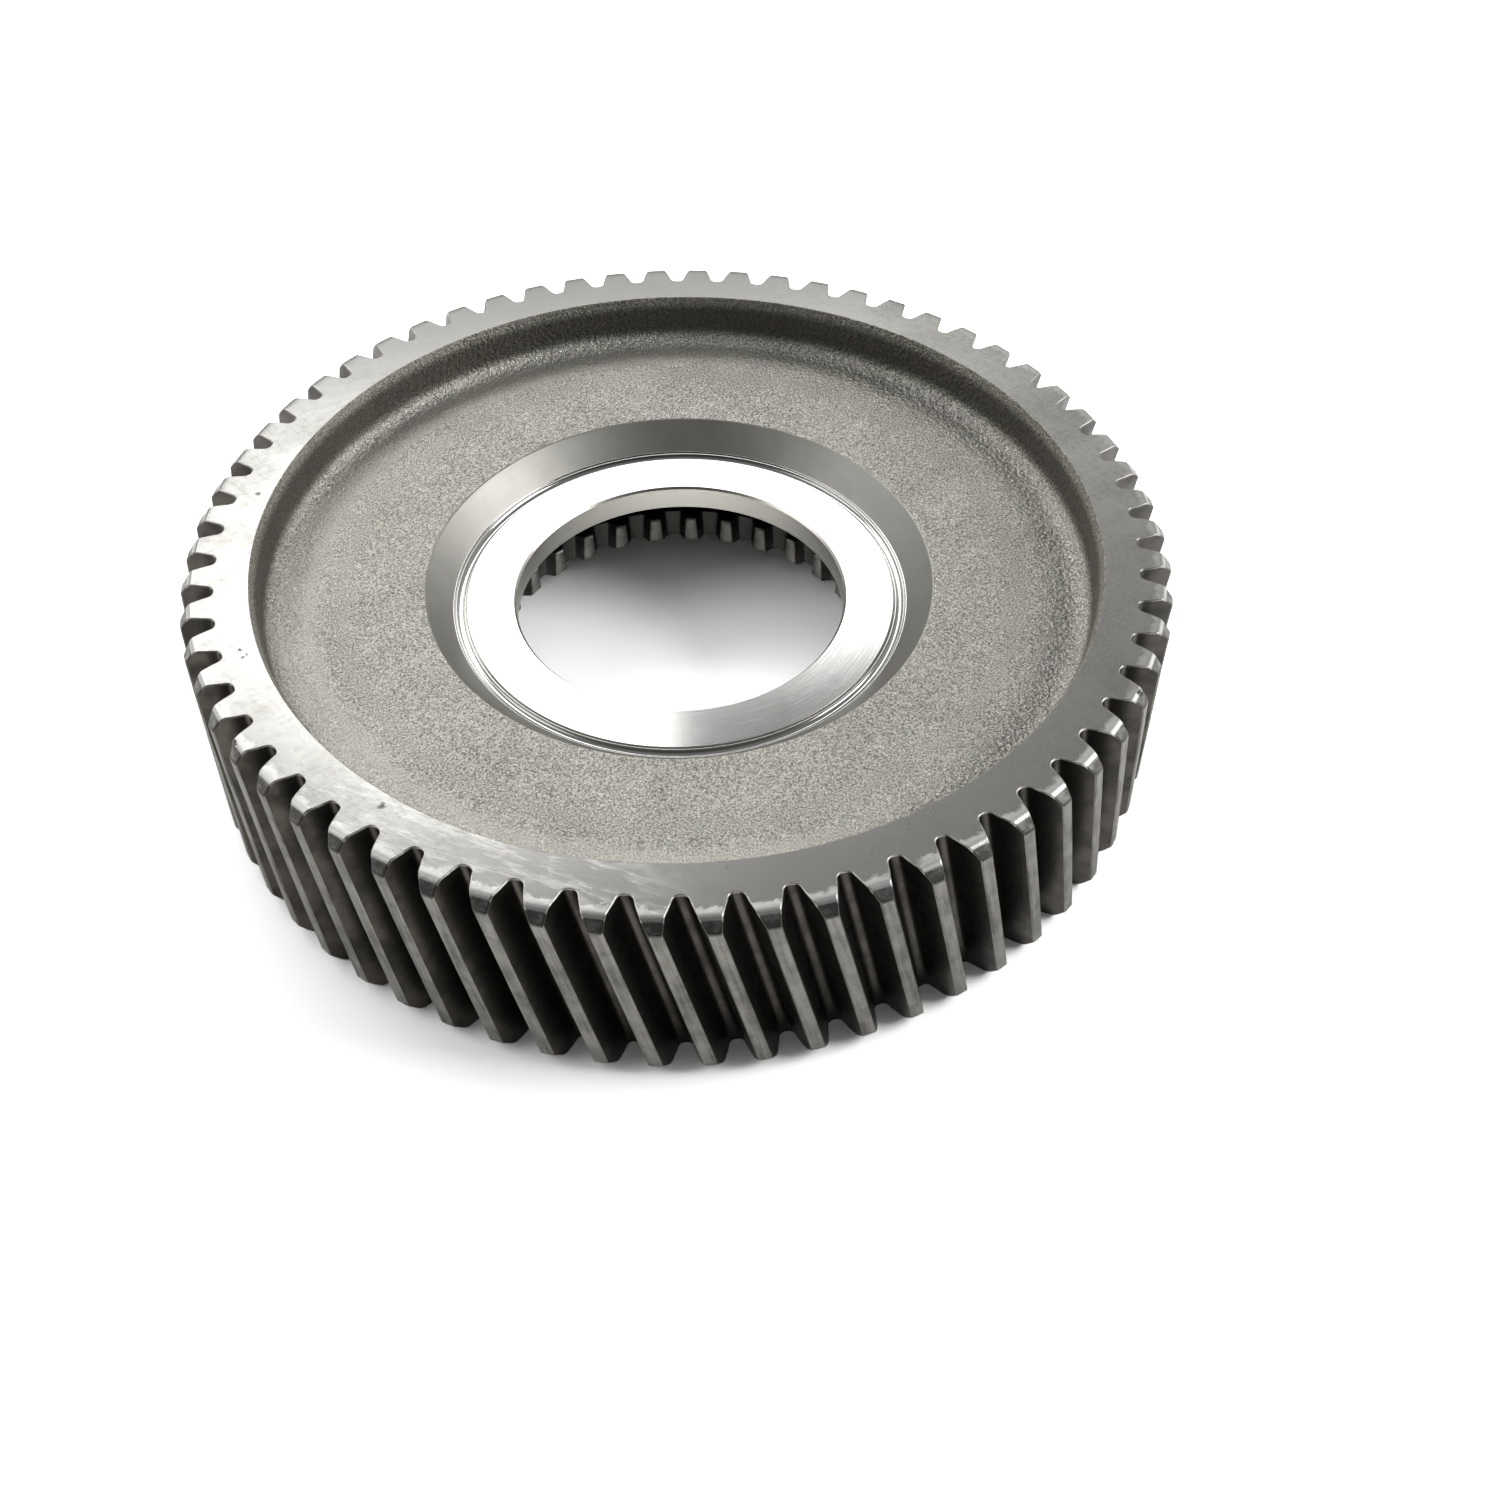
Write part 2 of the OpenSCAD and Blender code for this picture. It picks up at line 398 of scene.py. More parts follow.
@dataclass
class HelicalRim(ToothRow):
    """The toothed rim, its recess walls and the outer part of the web."""

    teeth: int = 62
    module: float = 4.0
    pressure_angle: float = 20.0
    helix_angle: float = 12.5
    face_width: float = 58.0
    clearance: float = 1.0
    root_fillet: float = 1.7
    tip_bevel: float = 0.35
    chamfer_r: float = 2.8
    chamfer_z: float = 3.4
    chamfer_wear: float = 0.3
    lip_width: float = 0.4
    clocking: float = -91.1
    rim_wall: float = 9.2
    edge_round: float = 0.35
    rim_edge: float = 0.2
    mouth_w: float = 1.2
    mouth_h: float = 3.5
    front_recess: float = 13.0
    web_thickness: float = 20.0
    draft: float = 2.0
    foot_fillet: float = 5.5
    web_slope_w: float = 26.0
    web_fall: float = 1.2
    web_split_r: float = 96.0
    root_gap: float = 2.0
    columns_per_tooth: int = 4
    fillet_steps: int = 4
    rim_edge_steps: int = 4
    wall_steps: int = 2
    foot_steps: int = 8
    front_web_steps: int = 5
    rear_web_steps: int = 4
    flank_shares: tuple[float, ...] = (0.12, 0.28, 0.44, 0.56, 0.6, 0.66, 0.71, 0.77, 0.84, 0.93, 1.0)

    def __post_init__(self) -> None:
        """Works out the circles of the teeth and the outline of one pitch."""
        helix = math.radians(self.helix_angle)
        self.pitch_r = self.teeth * self.module / math.cos(helix) / 2
        self.tip_r = self.pitch_r + self.module
        self.root_r = self.pitch_r - self.module - self.clearance
        self.transverse = math.atan(math.tan(math.radians(self.pressure_angle)) / math.cos(helix))
        self.base_r = self.pitch_r * math.cos(self.transverse)
        self.twist = math.tan(helix) / self.pitch_r
        self.rim_r = self.root_r - self.rim_wall
        self.web_front = self.face_width - self.front_recess
        self.web_rear = self.web_front - self.web_thickness
        self.wall_r = self.rim_r - self.mouth_w
        self.foot_r = self.fillet_centre(self.front_recess + self.web_fall)[0]
        self.web_flat_r = self.foot_r - self.web_slope_w
        self.crown_r = (self.web_slope_w ** 2 / self.web_fall + self.web_fall) / 2
        self.start = math.radians(self.clocking)
        self.divisions = RoundColumns(self.start, self.teeth * self.columns_per_tooth)
        side = self.space_side()
        self.foot_index = self.fillet_steps + 1
        self.bevel_index = len(side) - 2
        self.outline = whole_pitch(side, self.tip_r, self.teeth)
        self.normals = edge_normals(self.outline, 1.0)

    def space_half_angle(self, radius: float) -> float:
        """Gives half the angle of a tooth space at a radius.

        Args:
            radius: A radius on the flank.

        Returns:
            The angle, in radians.
        """
        def involute(angle: float) -> float:
            """Gives the involute function of an angle."""
            return math.tan(angle) - angle
        lean = math.acos(min(1.0, self.base_r / radius))
        return math.pi / 2 / self.teeth - involute(self.transverse) + involute(lean)

    def space_side(self) -> list[Pair]:
        """Gives one side of a tooth space as radius and angle, from its middle to the tip's edge.

        Returns:
            The points, with the angles in radians.
        """
        fillet_r = self.root_r + self.root_fillet
        fillet_a = self.space_half_angle(fillet_r) - self.root_fillet / self.base_r
        centre = (fillet_r * math.cos(fillet_a), fillet_r * math.sin(fillet_a))
        flank_turn = math.pi / 2 + fillet_a + math.acos(self.base_r / fillet_r)
        root_turn = math.pi + fillet_a
        side = [(self.root_r, 0.0)]
        for k in range(self.fillet_steps + 1):
            turn = root_turn + (flank_turn - root_turn) * k / self.fillet_steps
            x = centre[0] + self.root_fillet * math.cos(turn)
            y = centre[1] + self.root_fillet * math.sin(turn)
            side.append((math.hypot(x, y), math.atan2(y, x)))
        foot_r = side[-1][0]
        bevel_r = self.tip_r - self.tip_bevel
        for share in self.flank_shares:
            r = foot_r + (bevel_r - foot_r) * share
            side.append((r, self.space_half_angle(r)))
        side.append((self.tip_r, self.space_half_angle(bevel_r) + self.tip_bevel / self.tip_r))
        return side

    def columns(self) -> int:
        """Gives the number of points in the outline of one pitch."""
        return len(self.outline)

    def end_middle(self, end: End) -> float:
        """Gives the height of an end face."""
        return self.face_width if end is End.FRONT else 0.0

    def end_height(self, radius: np.ndarray, end: End) -> np.ndarray:
        """Gives the height of an end, with its worn chamfer, at each radius.

        Args:
            radius: The radii.
            end: Which end.

        Returns:
            The heights.
        """
        drop = softened(radius - (self.tip_r - self.chamfer_r), self.chamfer_wear)
        drop *= self.chamfer_z / self.chamfer_r
        return self.face_width - drop if end is End.FRONT else drop

    def place(self, inset: float, heights: np.ndarray) -> np.ndarray:
        """Gives the outline's points at their heights along the helix, moved into the metal."""
        angle = self.start + (self.face_width - heights) * self.twist
        return turned(self.outline + self.normals * inset, angle, heights)

    def lay_flanks(self, patch: Patchwork) -> None:
        """Adds the flanks, the tip and the rounded edges of one pitch.

        Args:
            patch: Takes the faces.
        """
        last = self.columns() - 2

        def flank_finish(j: int) -> tuple[Zone, Group]:
            """Gives the finish of a column of quads.

            Args:
                j: The column.

            Returns:
                Its zone and its smoothing group.
            """
            column = min(j, last - j)
            if column < self.bevel_index:
                return Zone.FLANK, Group.FLANK
            if column == self.bevel_index:
                return Zone.TIP_LAND, Group.BEVEL
            return Zone.TIP_LAND, Group.TIP

        patch.add_grid(self.flank_lines(), flank_finish)
        for end in End:
            patch.add_grid(self.edge_lines(end), lambda j: (Zone.BURNISHED, Group.TOOTH_EDGE))

    def lay_end(self, patch: Patchwork, end: End) -> None:
        """Adds the end face of one tooth, and the rim's face below it down to the rim's edge.

        Args:
            patch: Takes the faces.
            end: Which end.
        """
        points = self.end_row(self.edge_round, 0.0, end)
        ids = patch.add_points(points)
        last = len(points) - 1
        radius = np.hypot(points[:, 0], points[:, 1])
        lip_r = self.tip_r - self.chamfer_r - self.lip_width
        for j in range(self.foot_index, self.bevel_index + 1):
            zone = Zone.CHAMFER if radius[j] > lip_r else Zone.END_FACE
            corners = (ids[j], ids[j + 1], ids[last - j - 1], ids[last - j])
            patch.add_face(corners, zone, Group.RIM_FACE)
        tip = self.bevel_index + 1
        patch.add_face((ids[tip], ids[tip + 1], ids[last - tip]), Zone.CHAMFER, Group.RIM_FACE)
        height = self.end_middle(end)
        foot = np.concatenate([points[: self.foot_index + 1], points[last - self.foot_index:]])
        near = math.atan2(points[0][1], points[0][0])
        steps = self.columns_per_tooth
        ring_r = self.root_r - self.root_gap
        below = patch.add_skirt(foot, self.root_r - self.root_gap / 2, Zone.END_FACE, Group.RIM_FACE)
        ring = self.divisions.ring(ring_r, height, near, steps)
        patch.add_zip(below, ring, Zone.END_FACE, Group.RIM_FACE)
        flat = [(r, height) for r in (ring_r, (ring_r + self.rim_r) / 2, self.rim_r + self.rim_edge)]
        Stretch(flat, Zone.END_FACE, Group.RIM_FACE).lay(patch, self.divisions, near, steps)

    def fillet_centre(self, depth: float) -> Pair:
        """Gives the centre of the fillet at the foot of a recess wall, below the end face.

        Args:
            depth: Depth of the recess.

        Returns:
            Its radius, and its height above the end face.
        """
        lean = math.radians(self.draft)
        foot_r = self.wall_r - (depth - self.mouth_h) * math.tan(lean)
        return foot_r + self.foot_fillet * (math.tan(lean) - 1 / math.cos(lean)), self.foot_fillet - depth

    def web_drop(self, radius: float) -> float:
        """Gives how far the front web lies below its flat middle part at a radius."""
        beyond = max(0.0, radius - self.web_flat_r)
        return self.crown_r - math.sqrt(self.crown_r ** 2 - beyond ** 2)

    def front_web(self, start: float, end: float, steps: int) -> list[Pair]:
        """Gives points along the front web between two radii, both ends included."""
        return [(r, self.web_front - self.web_drop(r)) for r in np.linspace(start, end, steps + 1)]

    def wall_stretches(self, end: End) -> list[Stretch]:
        """Gives the recess of one end, from the rim's edge down to the web.

        Args:
            end: Which end.

        Returns:
            The rim's rounded edge and the forged wall with the outer part of the web.
        """
        depth = self.front_recess + self.web_fall if end is End.FRONT else self.web_rear
        slant = self.mouth_w / self.mouth_h
        reach = self.rim_edge * math.hypot(1, slant)
        edge_line = [(self.rim_r + self.rim_edge, 0.0)]
        for k in range(1, self.rim_edge_steps + 1):
            share = k / self.rim_edge_steps
            down = reach * share ** 2
            edge_line.append((self.rim_r + self.rim_edge * (1 - share) ** 2 - down * slant, -down))
        mouth_foot = (self.wall_r, -self.mouth_h)
        fillet = arc(self.fillet_centre(depth), self.foot_fillet, -self.draft, -90, self.foot_steps)
        wall = spaced(edge_line[-1], mouth_foot, self.wall_steps)
        wall += spaced(mouth_foot, fillet[0], self.wall_steps)[1:] + fillet[1:]
        height, sign = self.end_middle(end), 1 if end is End.FRONT else -1
        edge_line, wall = ([(r, height + sign * z) for r, z in line] for line in (edge_line, wall))
        if end is End.FRONT:
            wall += self.front_web(self.foot_r, self.web_split_r, self.front_web_steps)[1:]
        else:
            wall += spaced(wall[-1], (self.web_split_r, self.web_rear), self.rear_web_steps)[1:]
        return [
            Stretch(edge_line, Zone.FORGED, Group.RIM_EDGE),
            Stretch(wall, Zone.FORGED, Group.FORGED),
        ]

    def sector(self) -> bpy.types.Mesh:
        """Makes the mesh of one tooth pitch of the rim.

        Returns:
            The mesh.
        """
        patch = Patchwork()
        self.lay_flanks(patch)
        for end in End:
            self.lay_end(patch, end)
            for stretch in self.wall_stretches(end):
                stretch.lay(patch, self.divisions, self.start, self.columns_per_tooth)
        return patch.to_mesh("rim_sector")


@dataclass
class ClutchHub(ToothRow):
    """The hub: inner web, funnel, thrust ring, bore lip, cutter relief and clutch teeth."""

    rim: HelicalRim = field(default_factory=HelicalRim)
    bore_r: float = 45.0
    lip_thickness: float = 7.7
    bore_chamfer: float = 0.6
    thrust_r: float = 58.5
    groove_r: float = 1.6
    groove_step: float = 0.3
    funnel_depth: float = 7.0
    funnel_angle: float = 44.0
    mouth_round: float = 0.3
    teeth: int = 31
    module: float = 3.5
    pressure_angle: float = 30.0
    inner: float = 2.0
    outer: float = 1.4
    length: float = 9.0
    taper: float = 3.5
    chamfer: float = 0.8
    chamfer_wear: float = 0.08
    corner: float = 0.5
    corner_share: float = 0.3
    relief_room: float = 1.2
    relief_corner: float = 0.8
    ring_break: float = 0.15
    ring_middle_r: float = 52.0
    clocking: float = 45.1
    hub_wall: float = 11.5
    hub_drop: float = 11.5
    hub_edge: float = 0.5
    rear_land: float = 1.0
    edge_round: float = 0.22
    flank_rows: int = 4
    edge_steps: int = 2
    flank_shares: tuple[float, ...] = (0.35, 0.6, 0.75, 0.88, 1.0)
    mouth_shares: tuple[float, ...] = (0.33, 0.67, 1.0)
    tip_rounds: int = 12
    tip_reach: int = 2
    front_web_steps: int = 12
    rear_web_steps: int = 9
    cone_steps: int = 3
    groove_steps: int = 10
    bore_steps: int = 2
    relief_steps: int = 4
    fillet_steps: int = 8
    hub_edge_steps: int = 3

    def __post_init__(self) -> None:
        """Works out the circles, heights and outlines of the clutch teeth."""
        self.pitch_r = self.teeth * self.module / 2
        self.tip_r = self.pitch_r - self.inner
        self.root_r = self.pitch_r + self.outer
        self.relief_r = self.root_r + self.relief_room
        self.hub_r = self.root_r + self.hub_wall
        self.clutch_top = self.hub_drop + self.length
        self.thrust_z = self.rim.web_front - self.funnel_depth
        self.lip_under = self.thrust_z - self.lip_thickness
        self.start = math.radians(self.clocking)
        self.steps = self.rim.divisions.count // self.teeth
        self.rear_outline, self.foot_index = self.space_outline(self.hub_drop)
        self.front_outline, _ = self.space_outline(self.clutch_top)
        self.rear_normals = edge_normals(self.rear_outline, -1.0)
        self.front_normals = edge_normals(self.front_outline, -1.0)

    def half_width(self, radius: float, height: float) -> float:
        """Gives half the width of a space between clutch teeth.

        Args:
            radius: Distance from the axis, along the middle of the space.
            height: Height along the axis.

        Returns:
            The half width.
        """
        middle = self.hub_drop + self.length / 2
        width = math.pi * radius / self.teeth - math.pi * self.module / 4
        width -= (middle - height) * math.tan(math.radians(self.taper))
        return width - (radius - self.pitch_r) * math.tan(math.radians(self.pressure_angle))

    def space_outline(self, height: float) -> tuple[np.ndarray, int]:
        """Gives the outline of one pitch at a height, and where its flank starts.

        Args:
            height: The height along the axis.

        Returns:
            The outline's points by rising angle, and the index of the flank's foot.
        """
        low_r = self.root_r - self.corner
        root_half = self.half_width(self.root_r, height)
        cut = self.corner_share * self.corner
        side = [(self.root_r, 0.0), (self.root_r, root_half - self.corner)]
        side.append((self.root_r - cut, root_half - cut))
        side.append((low_r, self.half_width(low_r, height)))
        foot = len(side) - 1
        tip_x = self.tip_r
        for _ in range(self.tip_rounds):
            tip_x -= math.hypot(tip_x, self.half_width(tip_x, height)) - self.tip_r
        for share in self.flank_shares:
            x = low_r + (tip_x - low_r) * share
            side.append((x, self.half_width(x, height)))
        polar = [(math.hypot(x, y), math.atan2(y, x)) for x, y in side]
        return whole_pitch(polar, self.tip_r, self.teeth), foot

    def columns(self) -> int:
        """Gives the number of points in the outline of one pitch."""
        return len(self.rear_outline)

    def end_middle(self, end: End) -> float:
        """Gives the height of an end of the clutch teeth."""
        return self.clutch_top if end is End.FRONT else self.hub_drop

    def end_height(self, radius: np.ndarray, end: End) -> np.ndarray:
        """Gives the height of an end, with its chamfer, at each radius."""
        drop = softened(self.tip_r + self.chamfer - radius, self.chamfer_wear)
        return self.clutch_top - drop if end is End.FRONT else self.hub_drop + drop

    def place(self, inset: float, heights: np.ndarray) -> np.ndarray:
        """Gives the outline's points at their heights along the taper, moved into the metal.

        Args:
            inset: How far they are moved.
            heights: The height of each point.

        Returns:
            The points of one pitch.
        """
        share = ((heights - self.hub_drop) / self.length)[:, None]
        rear = self.rear_outline + self.rear_normals * inset
        front = self.front_outline + self.front_normals * inset
        return turned(rear + (front - rear) * share, self.start, heights)

    def lay_teeth(self, patch: Patchwork) -> None:
        """Adds the flanks, edges and end faces of one clutch tooth pitch.

        Args:
            patch: Takes the faces.
        """
        patch.add_grid(self.flank_lines(), lambda j: (Zone.CLUTCH, Group.CLUTCH_FLANK))
        for end in End:
            patch.add_grid(self.edge_lines(end), lambda j: (Zone.CLUTCH, Group.CLUTCH_EDGE))
            points = self.end_row(self.edge_round, 0.0, end)
            ids = patch.add_points(points)
            last = len(points) - 1
            middle, reach = last // 2, self.tip_reach
            for j in range(self.foot_index, middle - reach):
                corners = (ids[j], ids[j + 1], ids[last - j - 1], ids[last - j])
                patch.add_face(corners, Zone.CLUTCH, Group.CLUTCH_END)
            patch.add_face(ids[middle - reach: middle + reach + 1], Zone.CLUTCH, Group.CLUTCH_END)
            foot = np.concatenate([points[: self.foot_index + 1], points[last - self.foot_index:]])
            ring_r = self.relief_r if end is End.FRONT else self.relief_r + self.rear_land
            ring = self.rim.divisions.ring(ring_r, self.end_middle(end), self.start, self.steps)
            patch.add_zip(foot, ring, Zone.CLUTCH, Group.CLUTCH_END)

    def front_stretches(self) -> list[Stretch]:
        """Gives the turned surfaces from the web's middle down to the clutch teeth.

        Returns:
            The stretches, from the outside inwards.
        """
        top, foot = self.rim.web_front, self.thrust_z
        lean = math.radians(self.funnel_angle)
        foot_r = self.thrust_r + 2 * self.groove_r + self.groove_step
        mouth_r = foot_r + self.funnel_depth * math.tan(lean)
        back = self.mouth_round
        mouth = [(mouth_r + back, top)]
        slope = (mouth_r - back * math.sin(lean), top - back * math.cos(lean))
        for share in self.mouth_shares:
            a, b = (1 - share) ** 2, share ** 2
            m = 1 - a - b
            mouth.append((a * mouth[0][0] + m * mouth_r + b * slope[0], a * top + m * top + b * slope[1]))
        web = self.rim.front_web(self.rim.web_split_r, mouth[0][0], self.front_web_steps)
        cone = spaced(slope, (foot_r, foot), self.cone_steps)
        groove_c = (self.thrust_r + self.groove_r, foot)
        ring_out = [(self.thrust_r, foot - self.ring_break), (self.thrust_r - self.ring_break, foot)]
        groove = [(foot_r, foot)] + arc(groove_c, self.groove_r, 0, -180, self.groove_steps)
        groove[-1] = ring_out[0]
        edge_r = self.bore_r + self.bore_chamfer
        ring = [ring_out[1], (self.ring_middle_r, foot), (edge_r, foot)]
        land_top = (self.bore_r, foot - self.bore_chamfer)
        land_foot = (self.bore_r, self.lip_under + self.bore_chamfer)
        corner = self.relief_corner
        under = arc((self.relief_r - corner, self.lip_under - corner), corner, 90, 0, self.relief_steps)
        under = [(edge_r, self.lip_under), *under, (self.relief_r, self.clutch_top)]
        return [
            Stretch(web + mouth[1:2], Zone.FORGED, Group.FORGED),
            Stretch(mouth[1:], Zone.FUNNEL, Group.MOUTH),
            Stretch(cone, Zone.FUNNEL, Group.CONE),
            Stretch(groove, Zone.THRUST, Group.GROOVE),
            Stretch(ring_out, Zone.BURNISHED, Group.RING_EDGE),
            Stretch(ring, Zone.THRUST, Group.RING),
            Stretch([(edge_r, foot), land_top], Zone.BORE, Group.BORE_TOP),
            Stretch(spaced(land_top, land_foot, self.bore_steps), Zone.BORE, Group.BORE),
            Stretch([land_foot, (edge_r, self.lip_under)], Zone.BORE, Group.BORE_FOOT),
            Stretch(under, Zone.CLUTCH, Group.RELIEF),
        ]

    def rear_stretches(self) -> list[Stretch]:
        """Gives the turned surfaces from the clutch teeth back to the middle of the rear web.

        Returns:
            The stretches, from the inside outwards.
        """
        rear, web = self.hub_drop, self.rim.web_rear
        lean = math.radians(self.rim.draft)
        fillet_r = self.rim.foot_fillet
        foot_r = self.hub_r + (web - rear) * math.tan(lean)
        centre = (foot_r - fillet_r * math.tan(lean) + fillet_r / math.cos(lean), web - fillet_r)
        fillet = arc(centre, fillet_r, 180 - self.rim.draft, 90, self.fillet_steps)
        edge = self.hub_edge
        face = [(self.relief_r + self.rear_land, rear), (self.hub_r - edge, rear)]
        round_edge = arc((self.hub_r - edge, rear + edge), edge, -90, 0, self.hub_edge_steps)
        wall = [round_edge[-1]] + fillet
        wall += spaced(fillet[-1], (self.rim.web_split_r, web), self.rear_web_steps)[1:]
        return [
            Stretch(face, Zone.END_FACE, Group.HUB_FACE),
            Stretch(round_edge, Zone.BURNISHED, Group.HUB_EDGE),
            Stretch(wall, Zone.FORGED, Group.FORGED),
        ]

    def sector(self) -> bpy.types.Mesh:
        """Makes the mesh of one clutch tooth pitch of the hub.

        Returns:
            The mesh.
        """
        patch = Patchwork()
        self.lay_teeth(patch)
        for stretch in self.front_stretches() + self.rear_stretches():
            stretch.lay(patch, self.rim.divisions, self.start, self.steps)
        return patch.to_mesh("hub_sector")


# Node trees


class Value:
    """A socket of a node tree, on which sums are written as plain expressions."""

    def __init__(self, shop: "Shop", socket: bpy.types.NodeSocket) -> None:
        """Wraps a socket of the tree that a shop fills."""
        self.shop = shop
        self.socket = socket

    def math(self, operation: str, *others: Any) -> "Value":
        """Adds a Math node on this value and others, and gives its result."""
        inputs = dict(enumerate((self, *others)))
        return self.shop.node("ShaderNodeMath", {"operation": operation}, inputs)

    def __add__(self, other: Any) -> "Value":
        """Gives the sum."""
        return self.math("ADD", other)

    __radd__ = __add__

    def __mul__(self, other: Any) -> "Value":
        """Gives the product."""
        return self.math("MULTIPLY", other)

    __rmul__ = __mul__

    def __sub__(self, other: Any) -> "Value":
        """Gives the difference."""
        return self.math("SUBTRACT", other)

    def __rsub__(self, other: Any) -> "Value":
        """Gives the difference from a number."""
        return self.shop.node("ShaderNodeMath", {"operation": "SUBTRACT"}, {0: other, 1: self})

    def __truediv__(self, other: Any) -> "Value":
        """Gives the quotient."""
        return self.math("DIVIDE", other)

    def step(self, low: float, high: float) -> "Value":
        """Gives a smooth step from 0 at low to 1 at high, or from 1 to 0 where low is above high."""
        falls = low > high
        return self.shop.node("ShaderNodeMapRange", {"interpolation_type": "SMOOTHSTEP", "clamp": True}, {
            "Value": self,
            "From Min": min(low, high),
            "From Max": max(low, high),
            "To Min": float(falls),
            "To Max": float(not falls),
        })

    def band(self, low: float, high: float, soft: float) -> "Value":
        """Gives 1 between low and high, with soft ends."""
        return self.step(low - soft, low + soft) * self.step(high + soft, high - soft)


class Shop:
    """Makes the nodes of a tree."""

    def __init__(self, tree: bpy.types.NodeTree) -> None:
        """Empties the tree that is to be filled."""
        self.tree = tree
        self.tree.nodes.clear()

    def node(self, kind: str, settings: dict[str, Any], inputs: dict[Any, Any], output: Any = 0) -> Value:
        """Adds a node.

        Args:
            kind: The node's type.
            settings: Its properties, set first.
            inputs: Values or links of its sockets, by name or number.
            output: Name or number of the output to give.

        Returns:
            The chosen output.
        """
        node = self.tree.nodes.new(kind)
        for name, value in settings.items():
            setattr(node, name, value)
        for key, value in inputs.items():
            if isinstance(value, Value):
                self.tree.links.new(value.socket, node.inputs[key])
            else:
                node.inputs[key].default_value = value
        return Value(self, node.outputs[output])

    def mix(self, share: Any, first: Any, second: Any) -> Value:
        """Mixes two colours, by the numbers of the Mix node's colour sockets."""
        return self.node("ShaderNodeMix", {"data_type": "RGBA"}, {0: share, 6: first, 7: second}, 2)

    def end(self, last: Value, kind: str, socket: str = "Surface") -> None:
        """Links the last value to the tree's output, which is of the given type."""
        out = self.tree.nodes.new(kind)
        self.tree.links.new(last.socket, out.inputs[socket])


# Repeating a sector round the axis


class RingTree:
    """Geometry Nodes that repeat a sector round the axis and give each zone its material."""

    def __init__(self, materials: dict[Zone, bpy.types.Material]) -> None:
        """Builds the tree.

        Args:
            materials: The material of each zone.
        """
        self.tree = bpy.data.node_groups.new("ring_of_sectors", "GeometryNodeTree")
        face = self.tree.interface
        face.new_socket("Sector", in_out="INPUT", socket_type="NodeSocketGeometry")
        self.count_id = face.new_socket("Count", in_out="INPUT", socket_type="NodeSocketInt").identifier
        face.new_socket("Ring", in_out="OUTPUT", socket_type="NodeSocketGeometry")
        shop = Shop(self.tree)
        sector, count = (shop.node("NodeGroupInput", {}, {}, name) for name in ("Sector", "Count"))
        part = shop.node("ShaderNodeMath", {"operation": "DIVIDE"}, {0: TURN, 1: count})
        index = shop.node("GeometryNodeInputIndex", {}, {})
        turn = shop.node("ShaderNodeCombineXYZ", {}, {"Z": index * part})
        placed = shop.node("GeometryNodeInstanceOnPoints", {}, {
            "Points": shop.node("GeometryNodePoints", {}, {"Count": count}),
            "Instance": sector,
            "Rotation": shop.node("FunctionNodeEulerToRotation", {}, {0: turn}),
        })
        shape = shop.node("GeometryNodeMergeByDistance", {}, {
            "Geometry": shop.node("GeometryNodeRealizeInstances", {}, {0: placed}),
            "Distance": WELD_DISTANCE,
        })
        whole, label = {"data_type": "INT"}, {"Name": "zone"}
        zone = shop.node("GeometryNodeInputNamedAttribute", whole, label, "Attribute")
        for key, material in materials.items():
            same = {**whole, "operation": "EQUAL"}
            shape = shop.node("GeometryNodeSetMaterial", {}, {
                "Geometry": shape,
                "Selection": shop.node("FunctionNodeCompare", same, {2: zone, 3: int(key)}),
                "Material": material,
            })
        shop.end(shape, "NodeGroupOutput", "Ring")

    def repeat(self, sector: bpy.types.Mesh, count: int) -> bpy.types.Mesh:
        """Repeats a sector round the axis.

        Args:
            sector: The mesh of one sector.
            count: How many sectors close the ring.

        Returns:
            A plain mesh of the whole ring.
        """
        holder = bpy.data.objects.new(sector.name, sector)
        bpy.context.scene.collection.objects.link(holder)
        modifier = holder.modifiers.new("ring", "NODES")
        modifier.node_group = self.tree
        modifier[self.count_id] = count
        graph = bpy.context.evaluated_depsgraph_get()
        ring = bpy.data.meshes.new_from_object(holder.evaluated_get(graph))
        holder.modifiers.clear()
        bpy.data.objects.remove(holder)
        return ring


# Finishes


